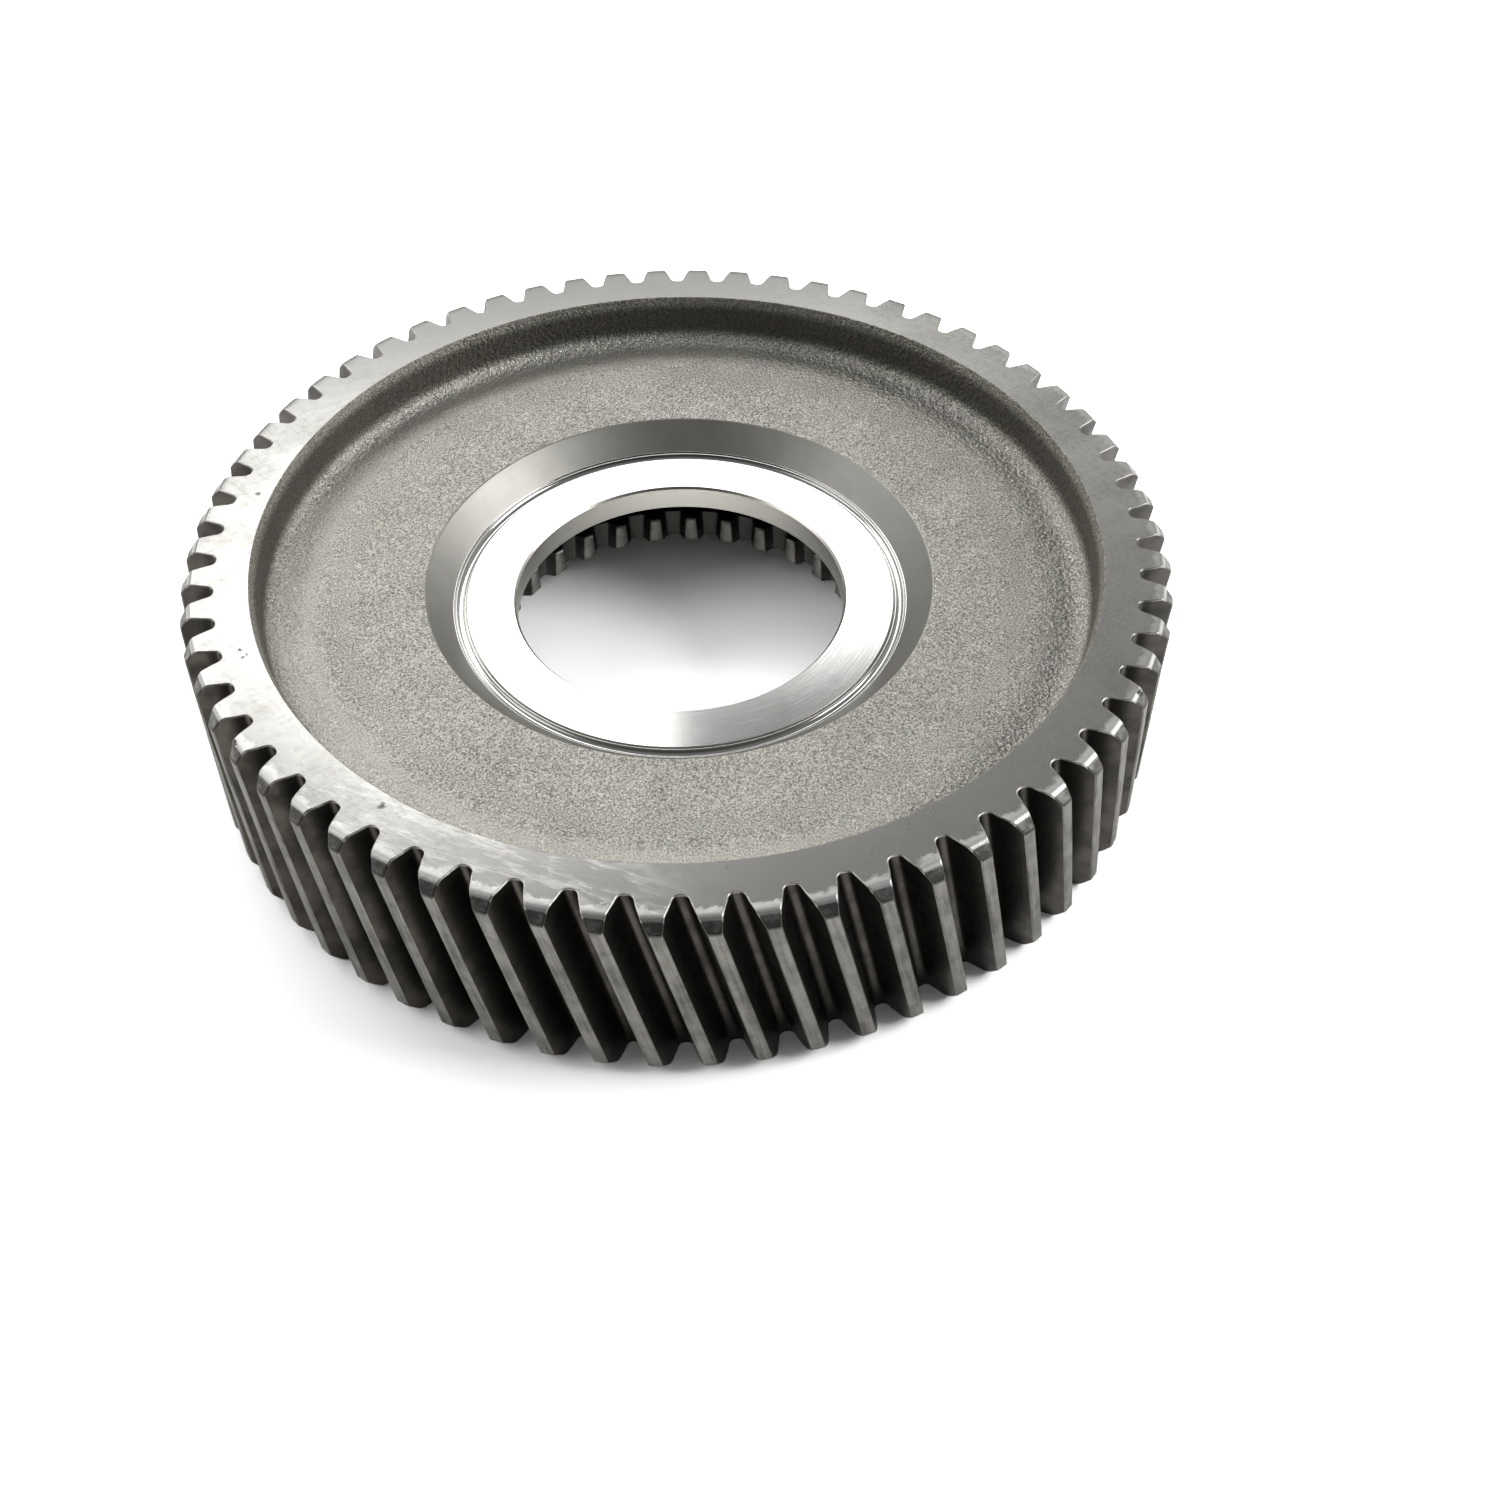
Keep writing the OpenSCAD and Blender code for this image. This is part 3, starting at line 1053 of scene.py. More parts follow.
class SteelShop(Shop):
    """Makes the nodes of one material, with the gear's own coordinates in millimetres."""

    octaves: float = 3.0
    streak_rough: float = 0.6
    dent_rags: Pattern = (2.6, 3.0, 0.6)
    dent_rag: float = 4.0
    dent_floor: float = 0.4

    def __init__(self, name: str) -> None:
        """Starts an empty material.

        Args:
            name: The material's name.
        """
        self.material = bpy.data.materials.new(name)
        self.material.use_nodes = True
        super().__init__(self.material.node_tree)
        place = self.node("ShaderNodeTexCoord", {}, {}, "Object")
        self.place = self.node("ShaderNodeVectorMath", {"operation": "SCALE"}, {0: place, "Scale": 1 / MM})
        parts = [self.node("ShaderNodeSeparateXYZ", {}, {0: self.place}, axis) for axis in "XYZ"]
        self.x, self.y, self.z = parts
        self.r = (self.x * self.x + self.y * self.y).math("SQRT")

    def vector(self, x: Any, y: Any, z: Any) -> Value:
        """Joins three values into a vector."""
        return self.node("ShaderNodeCombineXYZ", {}, {0: x, 1: y, 2: z})

    def noise(
        self, scale: float, detail: float = 2.0, rough: float = 0.5, at: Value | None = None
    ) -> Value:
        """Gives noise from 0 to 1, with about `scale` features per millimetre."""
        inputs = {"Vector": at or self.place, "Scale": scale, "Detail": detail, "Roughness": rough}
        return self.node("ShaderNodeTexNoise", {"noise_dimensions": "3D"}, inputs)

    def clouds(self, scale: float, low: float, high: float, rough: float = 0.6) -> Value:
        """Gives soft blotches: 0 where the noise is at the low level and 1 where it is at the high one."""
        return self.noise(scale, self.octaves, rough).step(low, high)

    def cells(self, scale: float) -> Value:
        """Gives the distance to the nearest of scattered points."""
        return self.node("ShaderNodeTexVoronoi", {"feature": "F1"}, {"Vector": self.place, "Scale": scale})

    def along_teeth(self, twist: float, stretch: float) -> Value:
        """Gives a place that changes slowly along helical teeth.

        Args:
            twist: Turn of the teeth per millimetre of height, in radians.
            stretch: How many times longer a pattern is along the teeth than across them.

        Returns:
            The place, with the teeth untwisted and squeezed along the axis.
        """
        straight = self.node("ShaderNodeVectorRotate", {"rotation_type": "Z_AXIS"}, {
            "Vector": self.place,
            "Angle": self.z * twist,
        })
        squeeze = (1.0, 1.0, 1.0 / stretch)
        return self.node("ShaderNodeVectorMath", {"operation": "MULTIPLY"}, {0: straight, 1: squeeze})

    def round_marks(self, along: Value, fine: float, spread: float) -> Value:
        """Gives noise drawn out into rings round the axis, about `fine` per millimetre of a value."""
        at = self.vector(self.x / self.r * spread, self.y / self.r * spread, along * fine)
        return self.noise(1.0, at=at)

    def streaks(self, turn: float, length: float, width: float) -> Value:
        """Gives noise drawn out in a direction of the end face, in degrees, as wiping leaves it."""
        at = self.node("ShaderNodeMapping", {"vector_type": "TEXTURE"}, {
            "Vector": self.place,
            "Rotation": (0.0, 0.0, math.radians(turn)),
            "Scale": (length, width, length),
        })
        return self.noise(1.0, self.octaves, self.streak_rough, at)

    def dents(self, places: Sequence[Spot], height: float) -> Value:
        """Gives small ragged dents in a flat face.

        Args:
            places: The x, y and radius of each dent.
            height: The height of the face.

        Returns:
            1 in a dent and 0 elsewhere.
        """
        ragged = self.noise(*self.dent_rags) - NOISE_MIDDLE
        total: Any = 0.0
        for x, y, size in places:
            ends = {0: self.place, 1: (x, y, height)}
            away = self.node("ShaderNodeVectorMath", {"operation": "DISTANCE"}, ends, "Value")
            dent = (away + ragged * (self.dent_rag * size)).step(size, self.dent_floor * size)
            total = dent.math("MAXIMUM", total)
        return total

    def bump(self, height: Value, depth: float, after: Value | None = None) -> Value:
        """Gives a normal for a relief.

        Args:
            height: The relief, from 0 to 1.
            depth: Its depth in millimetres.
            after: A normal to add it to.

        Returns:
            The normal.
        """
        inputs: dict[Any, Any] = {"Height": height, "Distance": depth * MM, "Strength": 1.0}
        if after is not None:
            inputs["Normal"] = after
        return self.node("ShaderNodeBump", {}, inputs)

    def finish(
        self, colour: Value, rough: Value, normal: Value, metallic: float = 1.0, brushed: float = 0.0
    ) -> bpy.types.Material:
        """Ends the material in a Principled shader.

        Args:
            colour: Its base colour.
            rough: Its roughness.
            normal: The normal of its relief.
            metallic: How metallic it is.
            brushed: The anisotropy of its reflections.

        Returns:
            The material.
        """
        shader = self.node("ShaderNodeBsdfPrincipled", {}, {
            "Base Color": colour,
            "Metallic": metallic,
            "Roughness": rough,
            "Anisotropic": brushed,
            "Normal": normal,
        })
        self.end(shader, "ShaderNodeOutputMaterial")
        return self.material


@dataclass(frozen=True)
class MachinedFace:
    """Worn steel of the rim's end faces with stains, rubbed white at the tooth ends and with dents in
    places; its right side is painted darker as shade, and its dents are painted dark as shade.
    """

    bright: Colour = (0.50, 0.492, 0.468, 1.0)
    stained_and_shaded: Colour = (0.30, 0.292, 0.27, 1.0)
    rubbed: Colour = (0.78, 0.77, 0.74, 1.0)
    dent_shade_colour: Colour = (0.10, 0.095, 0.085, 1.0)
    dent_shade_share: float = 0.8
    roughness: float = 0.20
    stain_and_shade_rough: float = 0.12
    rub_rough: float = 0.18
    front: float = HelicalRim.face_width
    blotches: Pattern = (0.05, 0.38, 0.70, 0.55)
    mottles: Pattern = (0.45, 0.40, 0.75, 0.65)
    wipes: tuple[Pattern, Pattern] = ((35.0, 9.0, 0.9), (-50.0, 7.0, 1.1))
    wipe_levels: Pair = (0.9, 1.4)
    # Painted shade: across this span of x the face is coloured darker towards the right.
    shaded_right_x: Pair = (20.0, 90.0)
    stain_and_shade_shares: tuple[float, ...] = (0.35, 0.25, 0.2, 0.25)
    rub_r: Pair = (125.2, 127.0)
    rub_rag: float = 5.0
    rags: Pattern = (0.35, 3.0, 0.6)
    near_y: Pair = (-40.0, -80.0)
    right_x: Pair = (70.0, 110.0)
    right_share: float = 0.6
    scuffs: Pattern = (-25.0, 9.0, 2.6)
    scuff_levels: Pair = (0.42, 0.72)
    scuff_y: Pair = (-70.0, -95.0)
    scuff_x: Pair = (10.0, -30.0)
    scuff_share: float = 0.45
    rings: Pattern = (2.2, 3.0)
    ring_depth: float = 0.2
    swell_scale: float = 0.2
    lumps: Pattern = (0.9, 3.0, 0.6)
    lump_depth: float = 3.0
    dent_depth: float = 8.0
    relief: float = 0.012
    dents: tuple[Spot, ...] = (
        (-70.9, -92.4, 0.8),
        (-114.3, 23.0, 0.7),
        (-110.7, -38.6, 0.55),
        (-109.6, -41.2, 0.45),
        (-108.9, -40.2, 0.35),
        (8.3, -114.7, 0.35),
    )

    def material(self) -> bpy.types.Material:
        """Builds the material.

        Returns:
            The material.
        """
        s = SteelShop("rim_face_steel")
        first, second = (s.streaks(*wipe) for wipe in self.wipes)
        marks = (
            s.clouds(*self.blotches),
            (first + second).step(*self.wipe_levels),
            s.clouds(*self.mottles),
            s.x.step(*self.shaded_right_x),
        )
        # Painted shade: the last mark darkens the right side of the face, where it reflects less light;
        # the others are stains and wipes.
        stain_and_shade = sum(mark * share for mark, share in zip(marks, self.stain_and_shade_shares))
        near = s.y.step(*self.near_y).math("MAXIMUM", s.x.step(*self.right_x) * self.right_share)
        ragged = s.r + (s.noise(*self.rags) - NOISE_MIDDLE) * self.rub_rag
        scuff = s.streaks(*self.scuffs).step(*self.scuff_levels)
        scuff = scuff * s.y.step(*self.scuff_y) * s.x.step(*self.scuff_x)
        rub = (ragged.step(*self.rub_r) * near + scuff * self.scuff_share).math("MINIMUM", 1.0)
        dent = s.dents(self.dents, self.front)
        colour = s.mix(rub, s.mix(stain_and_shade, self.bright, self.stained_and_shaded), self.rubbed)
        relief = s.round_marks(s.r, *self.rings) * self.ring_depth + s.noise(self.swell_scale)
        relief = relief + rub * s.noise(*self.lumps) * self.lump_depth - dent * self.dent_depth
        # Painted shade: the dents are coloured dark for the shade in their hollows.
        return s.finish(
            s.mix(dent * self.dent_shade_share, colour, self.dent_shade_colour),
            self.roughness + stain_and_shade * self.stain_and_shade_rough + rub * self.rub_rough,
            s.bump(relief, self.relief),
        )


@dataclass(frozen=True)
class BurnishedEdge:
    """Broken edges, rubbed bright and lumpy in front and dark below the tooth ends."""

    bright: Colour = (0.80, 0.785, 0.75, 1.0)
    dull: Colour = (0.50, 0.49, 0.46, 1.0)
    dark: Colour = (0.11, 0.105, 0.096, 1.0)
    roughness: float = 0.30
    wear_rough: float = 0.12
    wears: Pattern = (0.45, 0.62, 0.42)
    worn_y: Pair = (-30.0, -80.0)
    below_r: Pair = (128.7, 129.2)
    lumps: Pattern = (0.9, 3.0, 0.6)
    relief: float = 0.06

    def material(self) -> bpy.types.Material:
        """Builds the material.

        Returns:
            The material.
        """
        s = SteelShop("burnished_steel")
        wear = s.clouds(*self.wears) * s.y.step(*self.worn_y)
        colour = s.mix(s.r.step(*self.below_r), s.mix(wear, self.dull, self.bright), self.dark)
        normal = s.bump(s.noise(*self.lumps), self.relief)
        return s.finish(colour, self.roughness + wear * self.wear_rough, normal)


@dataclass(frozen=True)
class ToothChamfer:
    """Turned chamfers on the tooth ends, dull below a ragged lip that is rubbed bright, with chips painted
    dark as shade in their hollows.
    """

    bright: Colour = (0.78, 0.77, 0.74, 1.0)
    dull: Colour = (0.17, 0.163, 0.15, 1.0)
    chip_shade_colour: Colour = (0.06, 0.056, 0.05, 1.0)
    roughness: float = 0.38
    ring_rough: float = 0.06
    lumps: Pattern = (0.9, 3.0, 0.6)
    lip_r: Pair = (129.0, 128.7)
    lip_rag: float = 0.3
    clouds: Pattern = (0.4, 0.40, 0.66)
    cloud_share: float = 0.3
    rings: Pattern = (2.6, 4.0)
    ring_depth: float = 0.1
    chip_depth: float = 2.0
    relief: float = 0.06
    chip_z: float = 57.3
    chips: tuple[Spot, ...] = ((111.6, -63.3, 1.3), (-107.6, -69.8, 1.2))

    def material(self) -> bpy.types.Material:
        """Builds the material.

        Returns:
            The material.
        """
        s = SteelShop("tooth_chamfer_steel")
        lumps = s.noise(*self.lumps)
        lip = (s.r + (lumps - NOISE_MIDDLE) * self.lip_rag).step(*self.lip_r)
        cloud = s.clouds(*self.clouds)
        rings = s.round_marks(s.r, *self.rings)
        colour = s.mix(lip, s.mix(cloud * self.cloud_share, self.dull, self.bright), self.bright)
        chip = s.dents(self.chips, self.chip_z)
        relief = rings * self.ring_depth + lip * lumps - chip * self.chip_depth
        # Painted shade: the chips are coloured dark for the shade in their hollows.
        return s.finish(
            s.mix(chip, colour, self.chip_shade_colour),
            self.roughness + rings * self.ring_rough,
            s.bump(relief, self.relief),
        )


@dataclass(frozen=True)
class HobbedFlank:
    """Satin flanks with the cutter's feed marks, coloured dark partly for the steel's own tone and partly
    as painted shade deep in the tooth gaps.
    """

    colour: Colour = (0.11, 0.099, 0.085, 1.0)
    dark: Colour = (0.05, 0.045, 0.039, 1.0)
    roughness: float = 0.31
    cloud_rough: float = 0.1
    metallic: float = 0.9
    clouds: Pattern = (0.10, 0.35, 0.68, 0.55)
    feeds: Pattern = (0.5, 8.0)
    feed_share: float = 0.6
    swell_scale: float = 0.6
    swell_share: float = 0.4
    relief: float = 0.01

    def material(self) -> bpy.types.Material:
        """Builds the material.

        Returns:
            The material.
        """
        s = SteelShop("hobbed_flank_steel")
        cloud = s.clouds(*self.clouds)
        feed = s.round_marks(s.z, *self.feeds)
        relief = feed * self.feed_share + s.noise(self.swell_scale) * self.swell_share
        # The dark flank colours are partly the steel's own tone and partly painted shade deep in the tooth
        # gaps.
        return s.finish(
            s.mix(cloud, self.colour, self.dark),
            self.roughness + cloud * self.cloud_rough,
            s.bump(relief, self.relief),
            self.metallic,
        )


@dataclass(frozen=True)
class TurnedTip:
    """Tip lands as turned on the blank, grey with fine rings."""

    colour: Colour = (0.34, 0.328, 0.298, 1.0)
    dark: Colour = (0.085, 0.081, 0.074, 1.0)
    roughness: float = 0.42
    ring_rough: float = 0.15
    metallic: float = 0.95
    rings: Pattern = (1.6, 5.0)
    ring_share: float = 0.1
    clouds: Pattern = (0.16, 0.38, 0.66)
    cloud_share: float = 0.35
    streaks: Pattern = (0.8, 3.0, 0.6)
    streak_levels: Pair = (0.40, 0.68)
    streak_share: float = 0.4
    relief: float = 0.02
    twist: float = HelicalRim().twist
    stretch: float = 14.0

    def material(self) -> bpy.types.Material:
        """Builds the material.

        Returns:
            The material.
        """
        s = SteelShop("tip_land_steel")
        rings = s.round_marks(s.z, *self.rings)
        cloud = s.clouds(*self.clouds)
        streak = s.noise(*self.streaks, s.along_teeth(self.twist, self.stretch)).step(*self.streak_levels)
        dirt = cloud * self.cloud_share + streak * self.streak_share + rings * self.ring_share
        return s.finish(
            s.mix(dirt, self.colour, self.dark),
            self.roughness + (rings - NOISE_MIDDLE) * self.ring_rough,
            s.bump(rings, self.relief),
            self.metallic,
        )


@dataclass(frozen=True)
class BlastedForging:
    """Shot-blasted forging skin of the web and the recess walls, grainy with small glints; the walls carry
    painted shade, lighter at their mouths, and the outer web carries a painted highlight band.
    """

    light: Colour = (0.98, 0.95, 0.865, 1.0)
    dark: Colour = (0.08, 0.073, 0.06, 1.0)
    glint: Colour = (0.97, 0.95, 0.89, 1.0)
    shaded_wall_light: Colour = (0.25, 0.236, 0.21, 1.0)
    shaded_wall_dark: Colour = (0.07, 0.065, 0.058, 1.0)
    roughness: float = 0.46
    metallic: float = 0.85
    grains: Pattern = (2.1, 3.0, 0.7)
    grain_levels: Pair = (0.33, 0.67)
    grain_share: float = 0.83
    patches: Pattern = (0.05, 0.35, 0.70, 0.55)
    patch_share: float = 0.08
    pit_scale: float = 1.3
    pit_levels: Pair = (0.10, 0.70)
    pit_depth: float = 0.3
    wall_r: Pair = (109.9, 111.4)
    middle_z: float = HelicalRim.face_width / 2
    lit_mouth_z: Pair = (25.0, 28.0)
    lit_mouth_share: float = 0.7
    foot_r: Pair = (104.0, 110.0)
    foot_soft: float = 1.0
    foot_gloss: float = 0.05
    highlight_band_r: Pair = (98.0, 107.0)
    highlight_band_soft: float = 3.0
    highlight_band_x: Pair = (70.0, 10.0)
    highlight_band_share: float = 0.35
    glints: Pattern = (2.3, 1.0)
    glint_levels: Pair = (0.62, 0.70)
    glint_share: float = 0.7
    glint_gloss: float = 0.2
    coarse_scale: float = 0.8
    coarse_r: Pair = (93.0, 103.0)
    coarse_x: Pair = (10.0, 80.0)
    coarse_relief: float = 0.42
    grain_relief: float = 0.2

    def material(self) -> bpy.types.Material:
        """Builds the material.

        Returns:
            The material.
        """
        s = SteelShop("blasted_forging_steel")
        grain = s.noise(*self.grains)
        pits = s.cells(self.pit_scale).step(*self.pit_levels)
        patch = s.clouds(*self.patches)
        coarse = s.noise(self.coarse_scale) * s.r.step(*self.coarse_r) * (s.x.step(*self.coarse_x) + 1)
        # Painted shade: the recess walls are coloured dark for the shade in the recess, and painted
        # lighter near their mouths for the light on their upper band.
        away = (s.z - self.middle_z).math("ABSOLUTE")
        wall = s.r.step(*self.wall_r) * (1 - away.step(*self.lit_mouth_z) * self.lit_mouth_share)
        # Painted highlight: the outer web near the wall foot is coloured lighter as a lit band, except on
        # the right, where it stays darker as painted shade.
        painted_highlight_band = s.r.band(*self.highlight_band_r, self.highlight_band_soft) * s.x.step(*self.highlight_band_x)
        tone = grain.step(*self.grain_levels) * self.grain_share + patch * self.patch_share
        tone = tone * (1 - painted_highlight_band * self.highlight_band_share)
        web_colour = s.mix(tone, self.light, self.dark)
        colour = s.mix(wall, web_colour, s.mix(tone, self.shaded_wall_light, self.shaded_wall_dark))
        glint = s.noise(*self.glints).step(*self.glint_levels) * (1 - wall)
        gloss = glint * self.glint_gloss + s.r.band(*self.foot_r, self.foot_soft) * self.foot_gloss
        fine = s.bump(pits * self.pit_depth - grain, self.grain_relief)
        return s.finish(
            s.mix(glint * self.glint_share, colour, self.glint),
            self.roughness - gloss,
            s.bump(coarse, self.coarse_relief, fine),
            self.metallic,
        )


@dataclass(frozen=True)
class TurnedSteel:
    """Finely turned or ground steel, with rings round the axis and soft blotches."""

    name: str
    light: Colour
    dark: Colour
    roughness: float
    rings: Pattern
    ring_levels: Pair
    ring_share: float
    clouds: Pattern
    cloud_share: float
    brushed: float
    relief: float
    ring_rough: float = 0.04

    def material(self) -> bpy.types.Material:
        """Builds the material.

        Returns:
            The material.
        """
        s = SteelShop(self.name)
        rings = s.round_marks(s.r, *self.rings)
        dirt = rings.step(*self.ring_levels) * self.ring_share + s.clouds(*self.clouds) * self.cloud_share
        return s.finish(
            s.mix(dirt, self.light, self.dark),
            self.roughness + rings * self.ring_rough,
            s.bump(rings, self.relief),
            brushed=self.brushed,
        )


TURNED_FUNNEL = TurnedSteel(
    name="turned_funnel_steel",
    light=(0.51, 0.497, 0.46, 1.0),
    dark=(0.34, 0.331, 0.305, 1.0),
    roughness=0.44,
    rings=(3.0, 2.0),
    ring_levels=(0.3, 0.75),
    ring_share=0.08,
    clouds=(0.12, 0.35, 0.70),
    cloud_share=0.2,
    brushed=0.4,
    relief=0.003,
)
GROUND_RING = TurnedSteel(
    name="ground_ring_steel",
    light=(0.58, 0.575, 0.56, 1.0),
    dark=(0.42, 0.412, 0.395, 1.0),
    roughness=0.09,
    rings=(4.0, 1.5),
    ring_levels=(0.45, 0.75),
    ring_share=0.2,
    clouds=(0.09, 0.50, 0.75),
    cloud_share=0.25,
    brushed=0.3,
    relief=0.006,
)


@dataclass(frozen=True)
class GroundBore:
    """Smooth ground steel of the bore."""

    light: Colour = (0.95, 0.925, 0.85, 1.0)
    dull: Colour = (0.80, 0.78, 0.715, 1.0)
    roughness: float = 0.22
    ring_rough: float = 0.08
    rings: Pattern = (4.0, 2.0)
    ring_share: float = 0.4
    cloud_scale: float = 0.15
    cloud_share: float = 0.4
    relief: float = 0.006

    def material(self) -> bpy.types.Material:
        """Builds the material.

        Returns:
            The material.
        """
        s = SteelShop("ground_bore_steel")
        rings = s.round_marks(s.z, *self.rings)
        dirt = rings * self.ring_share + s.noise(self.cloud_scale) * self.cloud_share
        return s.finish(
            s.mix(dirt, self.light, self.dull),
            self.roughness + rings * self.ring_rough,
            s.bump(rings, self.relief),
        )


@dataclass(frozen=True)
class ClutchSteel:
    """Worn steel of the clutch teeth and the cutter relief, with painted shade: everything but the tooth
    tips is coloured near black for the shade inside the hub, and the root lands dark grey.
    """

    tip: Colour = (0.40, 0.389, 0.361, 1.0)
    root: Colour = (0.14, 0.135, 0.125, 1.0)
    light: Colour = (0.075, 0.072, 0.067, 1.0)
    dark: Colour = (0.04, 0.038, 0.035, 1.0)
    roughness: float = 0.42
    cloud_rough: float = 0.08
    metallic: float = 0.95
    tip_r: Pair = (52.85, 52.45)
    tip_loss: float = 0.3
    root_r: Pair = (55.35, 55.95)
    root_soft: float = 0.15
    clouds: Pattern = (0.25, 0.35, 0.70)
    cloud_share: float = 0.7
    rings: Pattern = (2.0, 4.0)
    ring_share: float = 0.2
    relief: float = 0.012

    def material(self) -> bpy.types.Material:
        """Builds the material.

        Returns:
            The material.
        """
        s = SteelShop("clutch_tooth_steel")
        cloud = s.clouds(*self.clouds)
        rings = s.round_marks(s.z, *self.rings)
        # Painted shade: outside the tooth tips the flanks, end faces and relief get near-black colours,
        # and the root lands a dark grey, for the shade inside the hub.
        tip = s.r.step(*self.tip_r) * (1 - cloud * self.tip_loss)
        root = s.r.band(*self.root_r, self.root_soft)
        flank = s.mix(cloud * self.cloud_share + rings * self.ring_share, self.light, self.dark)
        return s.finish(
            s.mix(tip, s.mix(root, flank, self.root), self.tip),
            self.roughness + cloud * self.cloud_rough,
            s.bump(rings, self.relief),
            self.metallic,
        )


# The gear


@dataclass
class GearWheel:
    """The whole gear, made as one mesh from the rim's and the hub's rings.

    Each wave of its forged skin has a scale, in features per millimetre, and a share of the height.
    """

    name: str = "gear_wheel"
    node: str = "gear"
    slot: str = "gear_steel"
    forged_wave: float = 0.10
    waves: tuple[Pair, ...] = ((0.09, 1.0), (0.31, 0.5))
    rim: HelicalRim = field(default_factory=HelicalRim)

    def finishes(self) -> dict[Zone, bpy.types.Material]:
        """Builds the material of each zone.

        Returns:
            The materials, by zone.
        """
        return {
            Zone.END_FACE: MachinedFace().material(),
            Zone.BURNISHED: BurnishedEdge().material(),
            Zone.FLANK: HobbedFlank().material(),
            Zone.TIP_LAND: TurnedTip().material(),
            Zone.FORGED: BlastedForging().material(),
            Zone.FUNNEL: TURNED_FUNNEL.material(),
            Zone.THRUST: GROUND_RING.material(),
            Zone.BORE: GroundBore().material(),
            Zone.CLUTCH: ClutchSteel().material(),
            Zone.CHAMFER: ToothChamfer().material(),
        }

    def weld(self, rings: Sequence[bpy.types.Mesh]) -> bpy.types.Mesh:
        """Welds the rings into one closed mesh with its faces outwards.

        Args:
            rings: The rim's and the hub's meshes.

        Returns:
            The closed mesh.
        """
        shell = bmesh.new()
        for ring in rings:
            shell.from_mesh(ring)
        bmesh.ops.remove_doubles(shell, verts=shell.verts, dist=WELD_DISTANCE)
        bmesh.ops.recalc_face_normals(shell, faces=shell.faces)
        open_edges = sum(len(edge.link_faces) != 2 for edge in shell.edges)
        self.wave(shell)
        mesh = bpy.data.meshes.new(self.name)
        shell.to_mesh(mesh)
        shell.free()
        LOG.info("%s: %d faces, %d open edges", self.name, len(mesh.polygons), open_edges)
        return mesh

    def wave(self, shell: bmesh.types.BMesh) -> None:
        """Makes the forged skin slightly uneven, away from the machined edges.

        Args:
            shell: The gear's mesh, which is changed.
        """
        group = shell.faces.layers.int["group"]
        shell.normal_update()
        moves = []
        for vert in shell.verts:
            if all(face[group] == Group.FORGED for face in vert.link_faces):
                place = vert.co / MM
                height = sum(share * noise.noise(place * scale) for scale, share in self.waves)
                moves.append((vert, vert.normal * (height * self.forged_wave * MM)))
        for vert, move in moves:
            vert.co += move

    def shade(self, mesh: bpy.types.Mesh, materials: dict[Zone, bpy.types.Material]) -> None:
        """Sets material slots and keeps the edges between smoothing groups crisp.

        Args:
            mesh: The gear's mesh.
            materials: The material of each zone.
        """
        count = len(mesh.polygons)
        zones, groups = np.zeros(count, np.int32), np.zeros(count, np.int32)
        mesh.attributes["zone"].data.foreach_get("value", zones)
        mesh.attributes["group"].data.foreach_get("value", groups)
        mesh.materials.clear()
        for key in Zone:
            mesh.materials.append(materials[key])
        mesh.polygons.foreach_set("material_index", zones)
        mesh.polygons.foreach_set("use_smooth", np.ones(count, bool))
        loop_edges = np.zeros(len(mesh.loops), np.int32)
        totals = np.zeros(count, np.int32)
        mesh.loops.foreach_get("edge_index", loop_edges)
        mesh.polygons.foreach_get("loop_total", totals)
        of_loop = np.repeat(groups, totals)
        low = np.full(len(mesh.edges), len(Group) + 1)
        high = np.zeros(len(mesh.edges), int)
        np.minimum.at(low, loop_edges, of_loop)
        np.maximum.at(high, loop_edges, of_loop)
        mesh.edges.foreach_set("use_edge_sharp", low != high)
        mesh.update()

    def build(self) -> bpy.types.Object:
        """Builds the gear and puts it in the place of its solid.

        Returns:
            The gear's object.
        """
        materials = self.finishes()
        hub = ClutchHub(rim=self.rim)
        tree = RingTree(materials)
        mesh = self.weld([tree.repeat(row.sector(), row.teeth) for row in (self.rim, hub)])
        self.shade(mesh, materials)
        wheel = bpy.data.objects.new(self.name, mesh)
        bpy.context.scene.collection.objects.link(wheel)
        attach(wheel, "root")
        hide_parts(self.node)
        LOG.info("%s: %d triangles", wheel.name, sum(len(p.vertices) - 2 for p in mesh.polygons))
        return wheel


# Studio


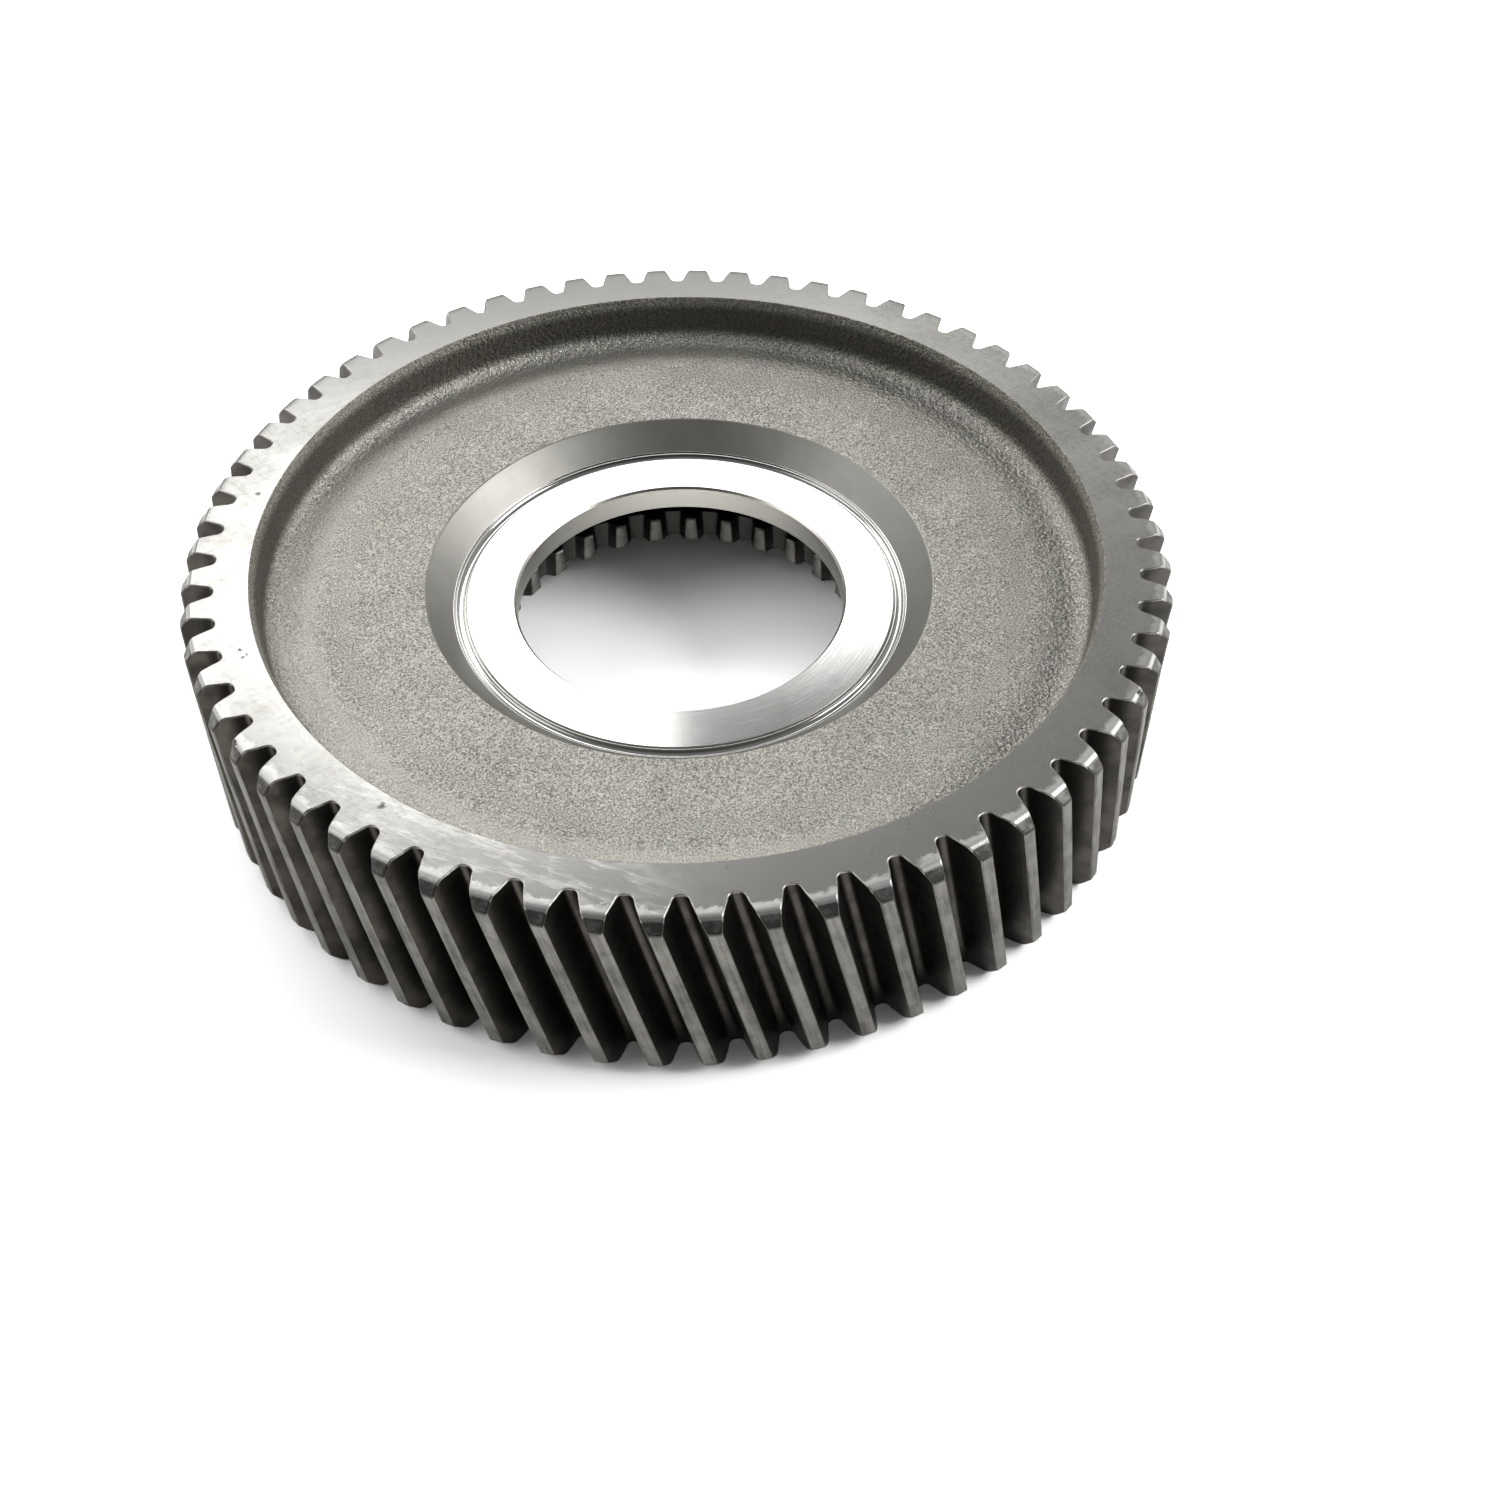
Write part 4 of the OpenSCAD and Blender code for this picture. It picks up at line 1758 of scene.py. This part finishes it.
@dataclass(frozen=True)
class PhotoCamera:
    """The camera that took the photo, as fitted to the gear's edges."""

    distance: float = 495.22
    target_height: float = 58.0
    elevation: float = 40.418
    yaw: float = 2.0019
    pitch: float = -6.6917
    roll: float = 1.7673
    focal_share: float = 1842.13 / 1500
    sensor: float = 36.0
    clip_start: float = 0.01

    def build(self) -> bpy.types.Object:
        """Makes the camera and gives it to the scene.

        Returns:
            The camera's object.
        """
        angles = (self.elevation, self.yaw, self.pitch, self.roll)
        lift, yaw, pitch, roll = (math.radians(a) for a in angles)
        right = Vector((1, 0, 0))
        up = Vector((0, math.sin(lift), math.cos(lift)))
        ahead = Vector((0, math.cos(lift), -math.sin(lift)))
        place = Vector((0, 0, self.target_height)) - ahead * self.distance
        side = math.cos(yaw) * right - math.sin(yaw) * ahead
        forward = math.sin(yaw) * right + math.cos(yaw) * ahead
        above = math.cos(pitch) * up - math.sin(pitch) * forward
        look = math.sin(pitch) * up + math.cos(pitch) * forward
        rolled_side = math.cos(roll) * side - math.sin(roll) * above
        rolled_above = math.sin(roll) * side + math.cos(roll) * above
        axes = (rolled_side, rolled_above, -look)
        data = bpy.data.cameras.new("photo_camera")
        data.sensor_width = self.sensor
        data.lens = self.focal_share * self.sensor
        data.clip_start = self.clip_start
        camera = bpy.data.objects.new("photo_camera", data)
        camera.matrix_world = Matrix.Translation(place * MM) @ Matrix(axes).transposed().to_4x4()
        bpy.context.scene.collection.objects.link(camera)
        bpy.context.scene.camera = camera
        return camera


@dataclass(frozen=True)
class SoftLamp:
    """A soft rectangular lamp that looks at the gear, with its place and size in metres."""

    name: str
    place: Spot
    size: Pair
    power: float
    aim: Spot = (0.0, 0.0, 0.04)

    def build(self) -> None:
        """Makes the lamp."""
        data = bpy.data.lights.new(self.name, "AREA")
        data.shape = "RECTANGLE"
        data.size, data.size_y = self.size
        data.energy = self.power
        lamp = bpy.data.objects.new(self.name, data)
        place = Vector(self.place)
        turn = (Vector(self.aim) - place).to_track_quat("-Z", "Y")
        lamp.matrix_world = Matrix.Translation(place) @ turn.to_matrix().to_4x4()
        bpy.context.scene.collection.objects.link(lamp)


@dataclass(frozen=True)
class Studio:
    """A pale floor, soft lamps and a surrounding light that is dimmer in front and overhead."""

    floor_size: float = 12.0
    floor_gap: float = 0.1 * MM
    floor_colour: Colour = (0.75, 0.75, 0.75, 1.0)
    floor_mirrored: Colour = (2.2, 2.2, 2.2, 1.0)
    floor_seen: Colour = (3.7, 3.7, 3.7, 1.0)
    front_level: float = 0.06
    back_level: float = 0.51
    top_loss: float = 0.45
    back_range: Pair = (-0.75, 0.25)
    top_range: Pair = (0.68, 0.84)
    first_bounce: float = 1.5
    lamps: tuple[SoftLamp, ...] = (
        SoftLamp("window_behind", (-0.121, 1.065, 0.955), (0.72, 0.235), 1.83),
        SoftLamp("window_upper", (-0.196, 0.931, 1.077), (0.352, 0.14), 0.57),
        SoftLamp("window_left", (-0.752, 0.807, 0.912), (0.63, 0.34), 2.1),
        SoftLamp("window_right", (0.42, 1.10, 0.82), (0.45, 0.2), 0.15),
        SoftLamp("panel_right", (1.186, -0.04, 0.79), (0.7, 0.6), 6.6),
        SoftLamp("panel_left", (-1.05, 0.0, 0.95), (0.8, 0.8), 2.0),
    )

    def floor(self) -> bpy.types.Object:
        """Makes the floor, which shows white to the camera and keeps the gear's shadow.

        Returns:
            The floor's object.
        """
        half = self.floor_size / 2
        corners = [(-half, -half, 0), (half, -half, 0), (half, half, 0), (-half, half, 0)]
        mesh = bpy.data.meshes.new("floor")
        mesh.from_pydata(corners, [], [(0, 1, 2, 3)])
        floor = bpy.data.objects.new("floor", mesh)
        floor.location.z = -self.floor_gap
        material = bpy.data.materials.new("floor_paper")
        material.use_nodes = True
        shop = Shop(material.node_tree)
        names = ("Is Camera Ray", "Is Glossy Ray", "Is Transmission Ray", "Ray Depth")
        seen, glossy, through, depth = (shop.node("ShaderNodeLightPath", {}, {}, name) for name in names)
        # Only the first reflection is paler, so no light is added under the gear.
        mirrored = glossy.math("MAXIMUM", through) * depth.math("LESS_THAN", self.first_bounce)
        tone = shop.mix(mirrored, self.floor_colour, self.floor_mirrored)
        paper = shop.node("ShaderNodeBsdfDiffuse", {}, {"Color": shop.mix(seen, tone, self.floor_seen)})
        shop.end(paper, "ShaderNodeOutputMaterial")
        mesh.materials.append(material)
        bpy.context.scene.collection.objects.link(floor)
        return floor

    def build(self) -> None:
        """Makes the floor, the lamps and the surrounding light."""
        self.floor()
        for lamp in self.lamps:
            lamp.build()
        world = bpy.data.worlds.new("studio")
        world.use_nodes = True
        shop = Shop(world.node_tree)
        direction = shop.node("ShaderNodeTexCoord", {}, {}, "Generated")
        ahead, up = (shop.node("ShaderNodeSeparateXYZ", {}, {0: direction}, axis) for axis in "YZ")
        back, top = ahead.step(*self.back_range), up.step(*self.top_range)
        level = self.front_level + back * (self.back_level - self.front_level) * (1 - top * self.top_loss)
        shop.end(shop.node("ShaderNodeBackground", {}, {"Strength": level}), "ShaderNodeOutputWorld")
        bpy.context.scene.world = world


def main() -> None:
    """Builds the camera, the studio and the gear, and logs the gear's face and triangle counts."""
    logging.basicConfig(level=logging.INFO, format="%(name)s: %(message)s")
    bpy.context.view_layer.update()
    bpy.context.scene.view_settings.view_transform = "Standard"
    PhotoCamera().build()
    Studio().build()
    GearWheel().build()


if __name__ == "__main__":
    main()
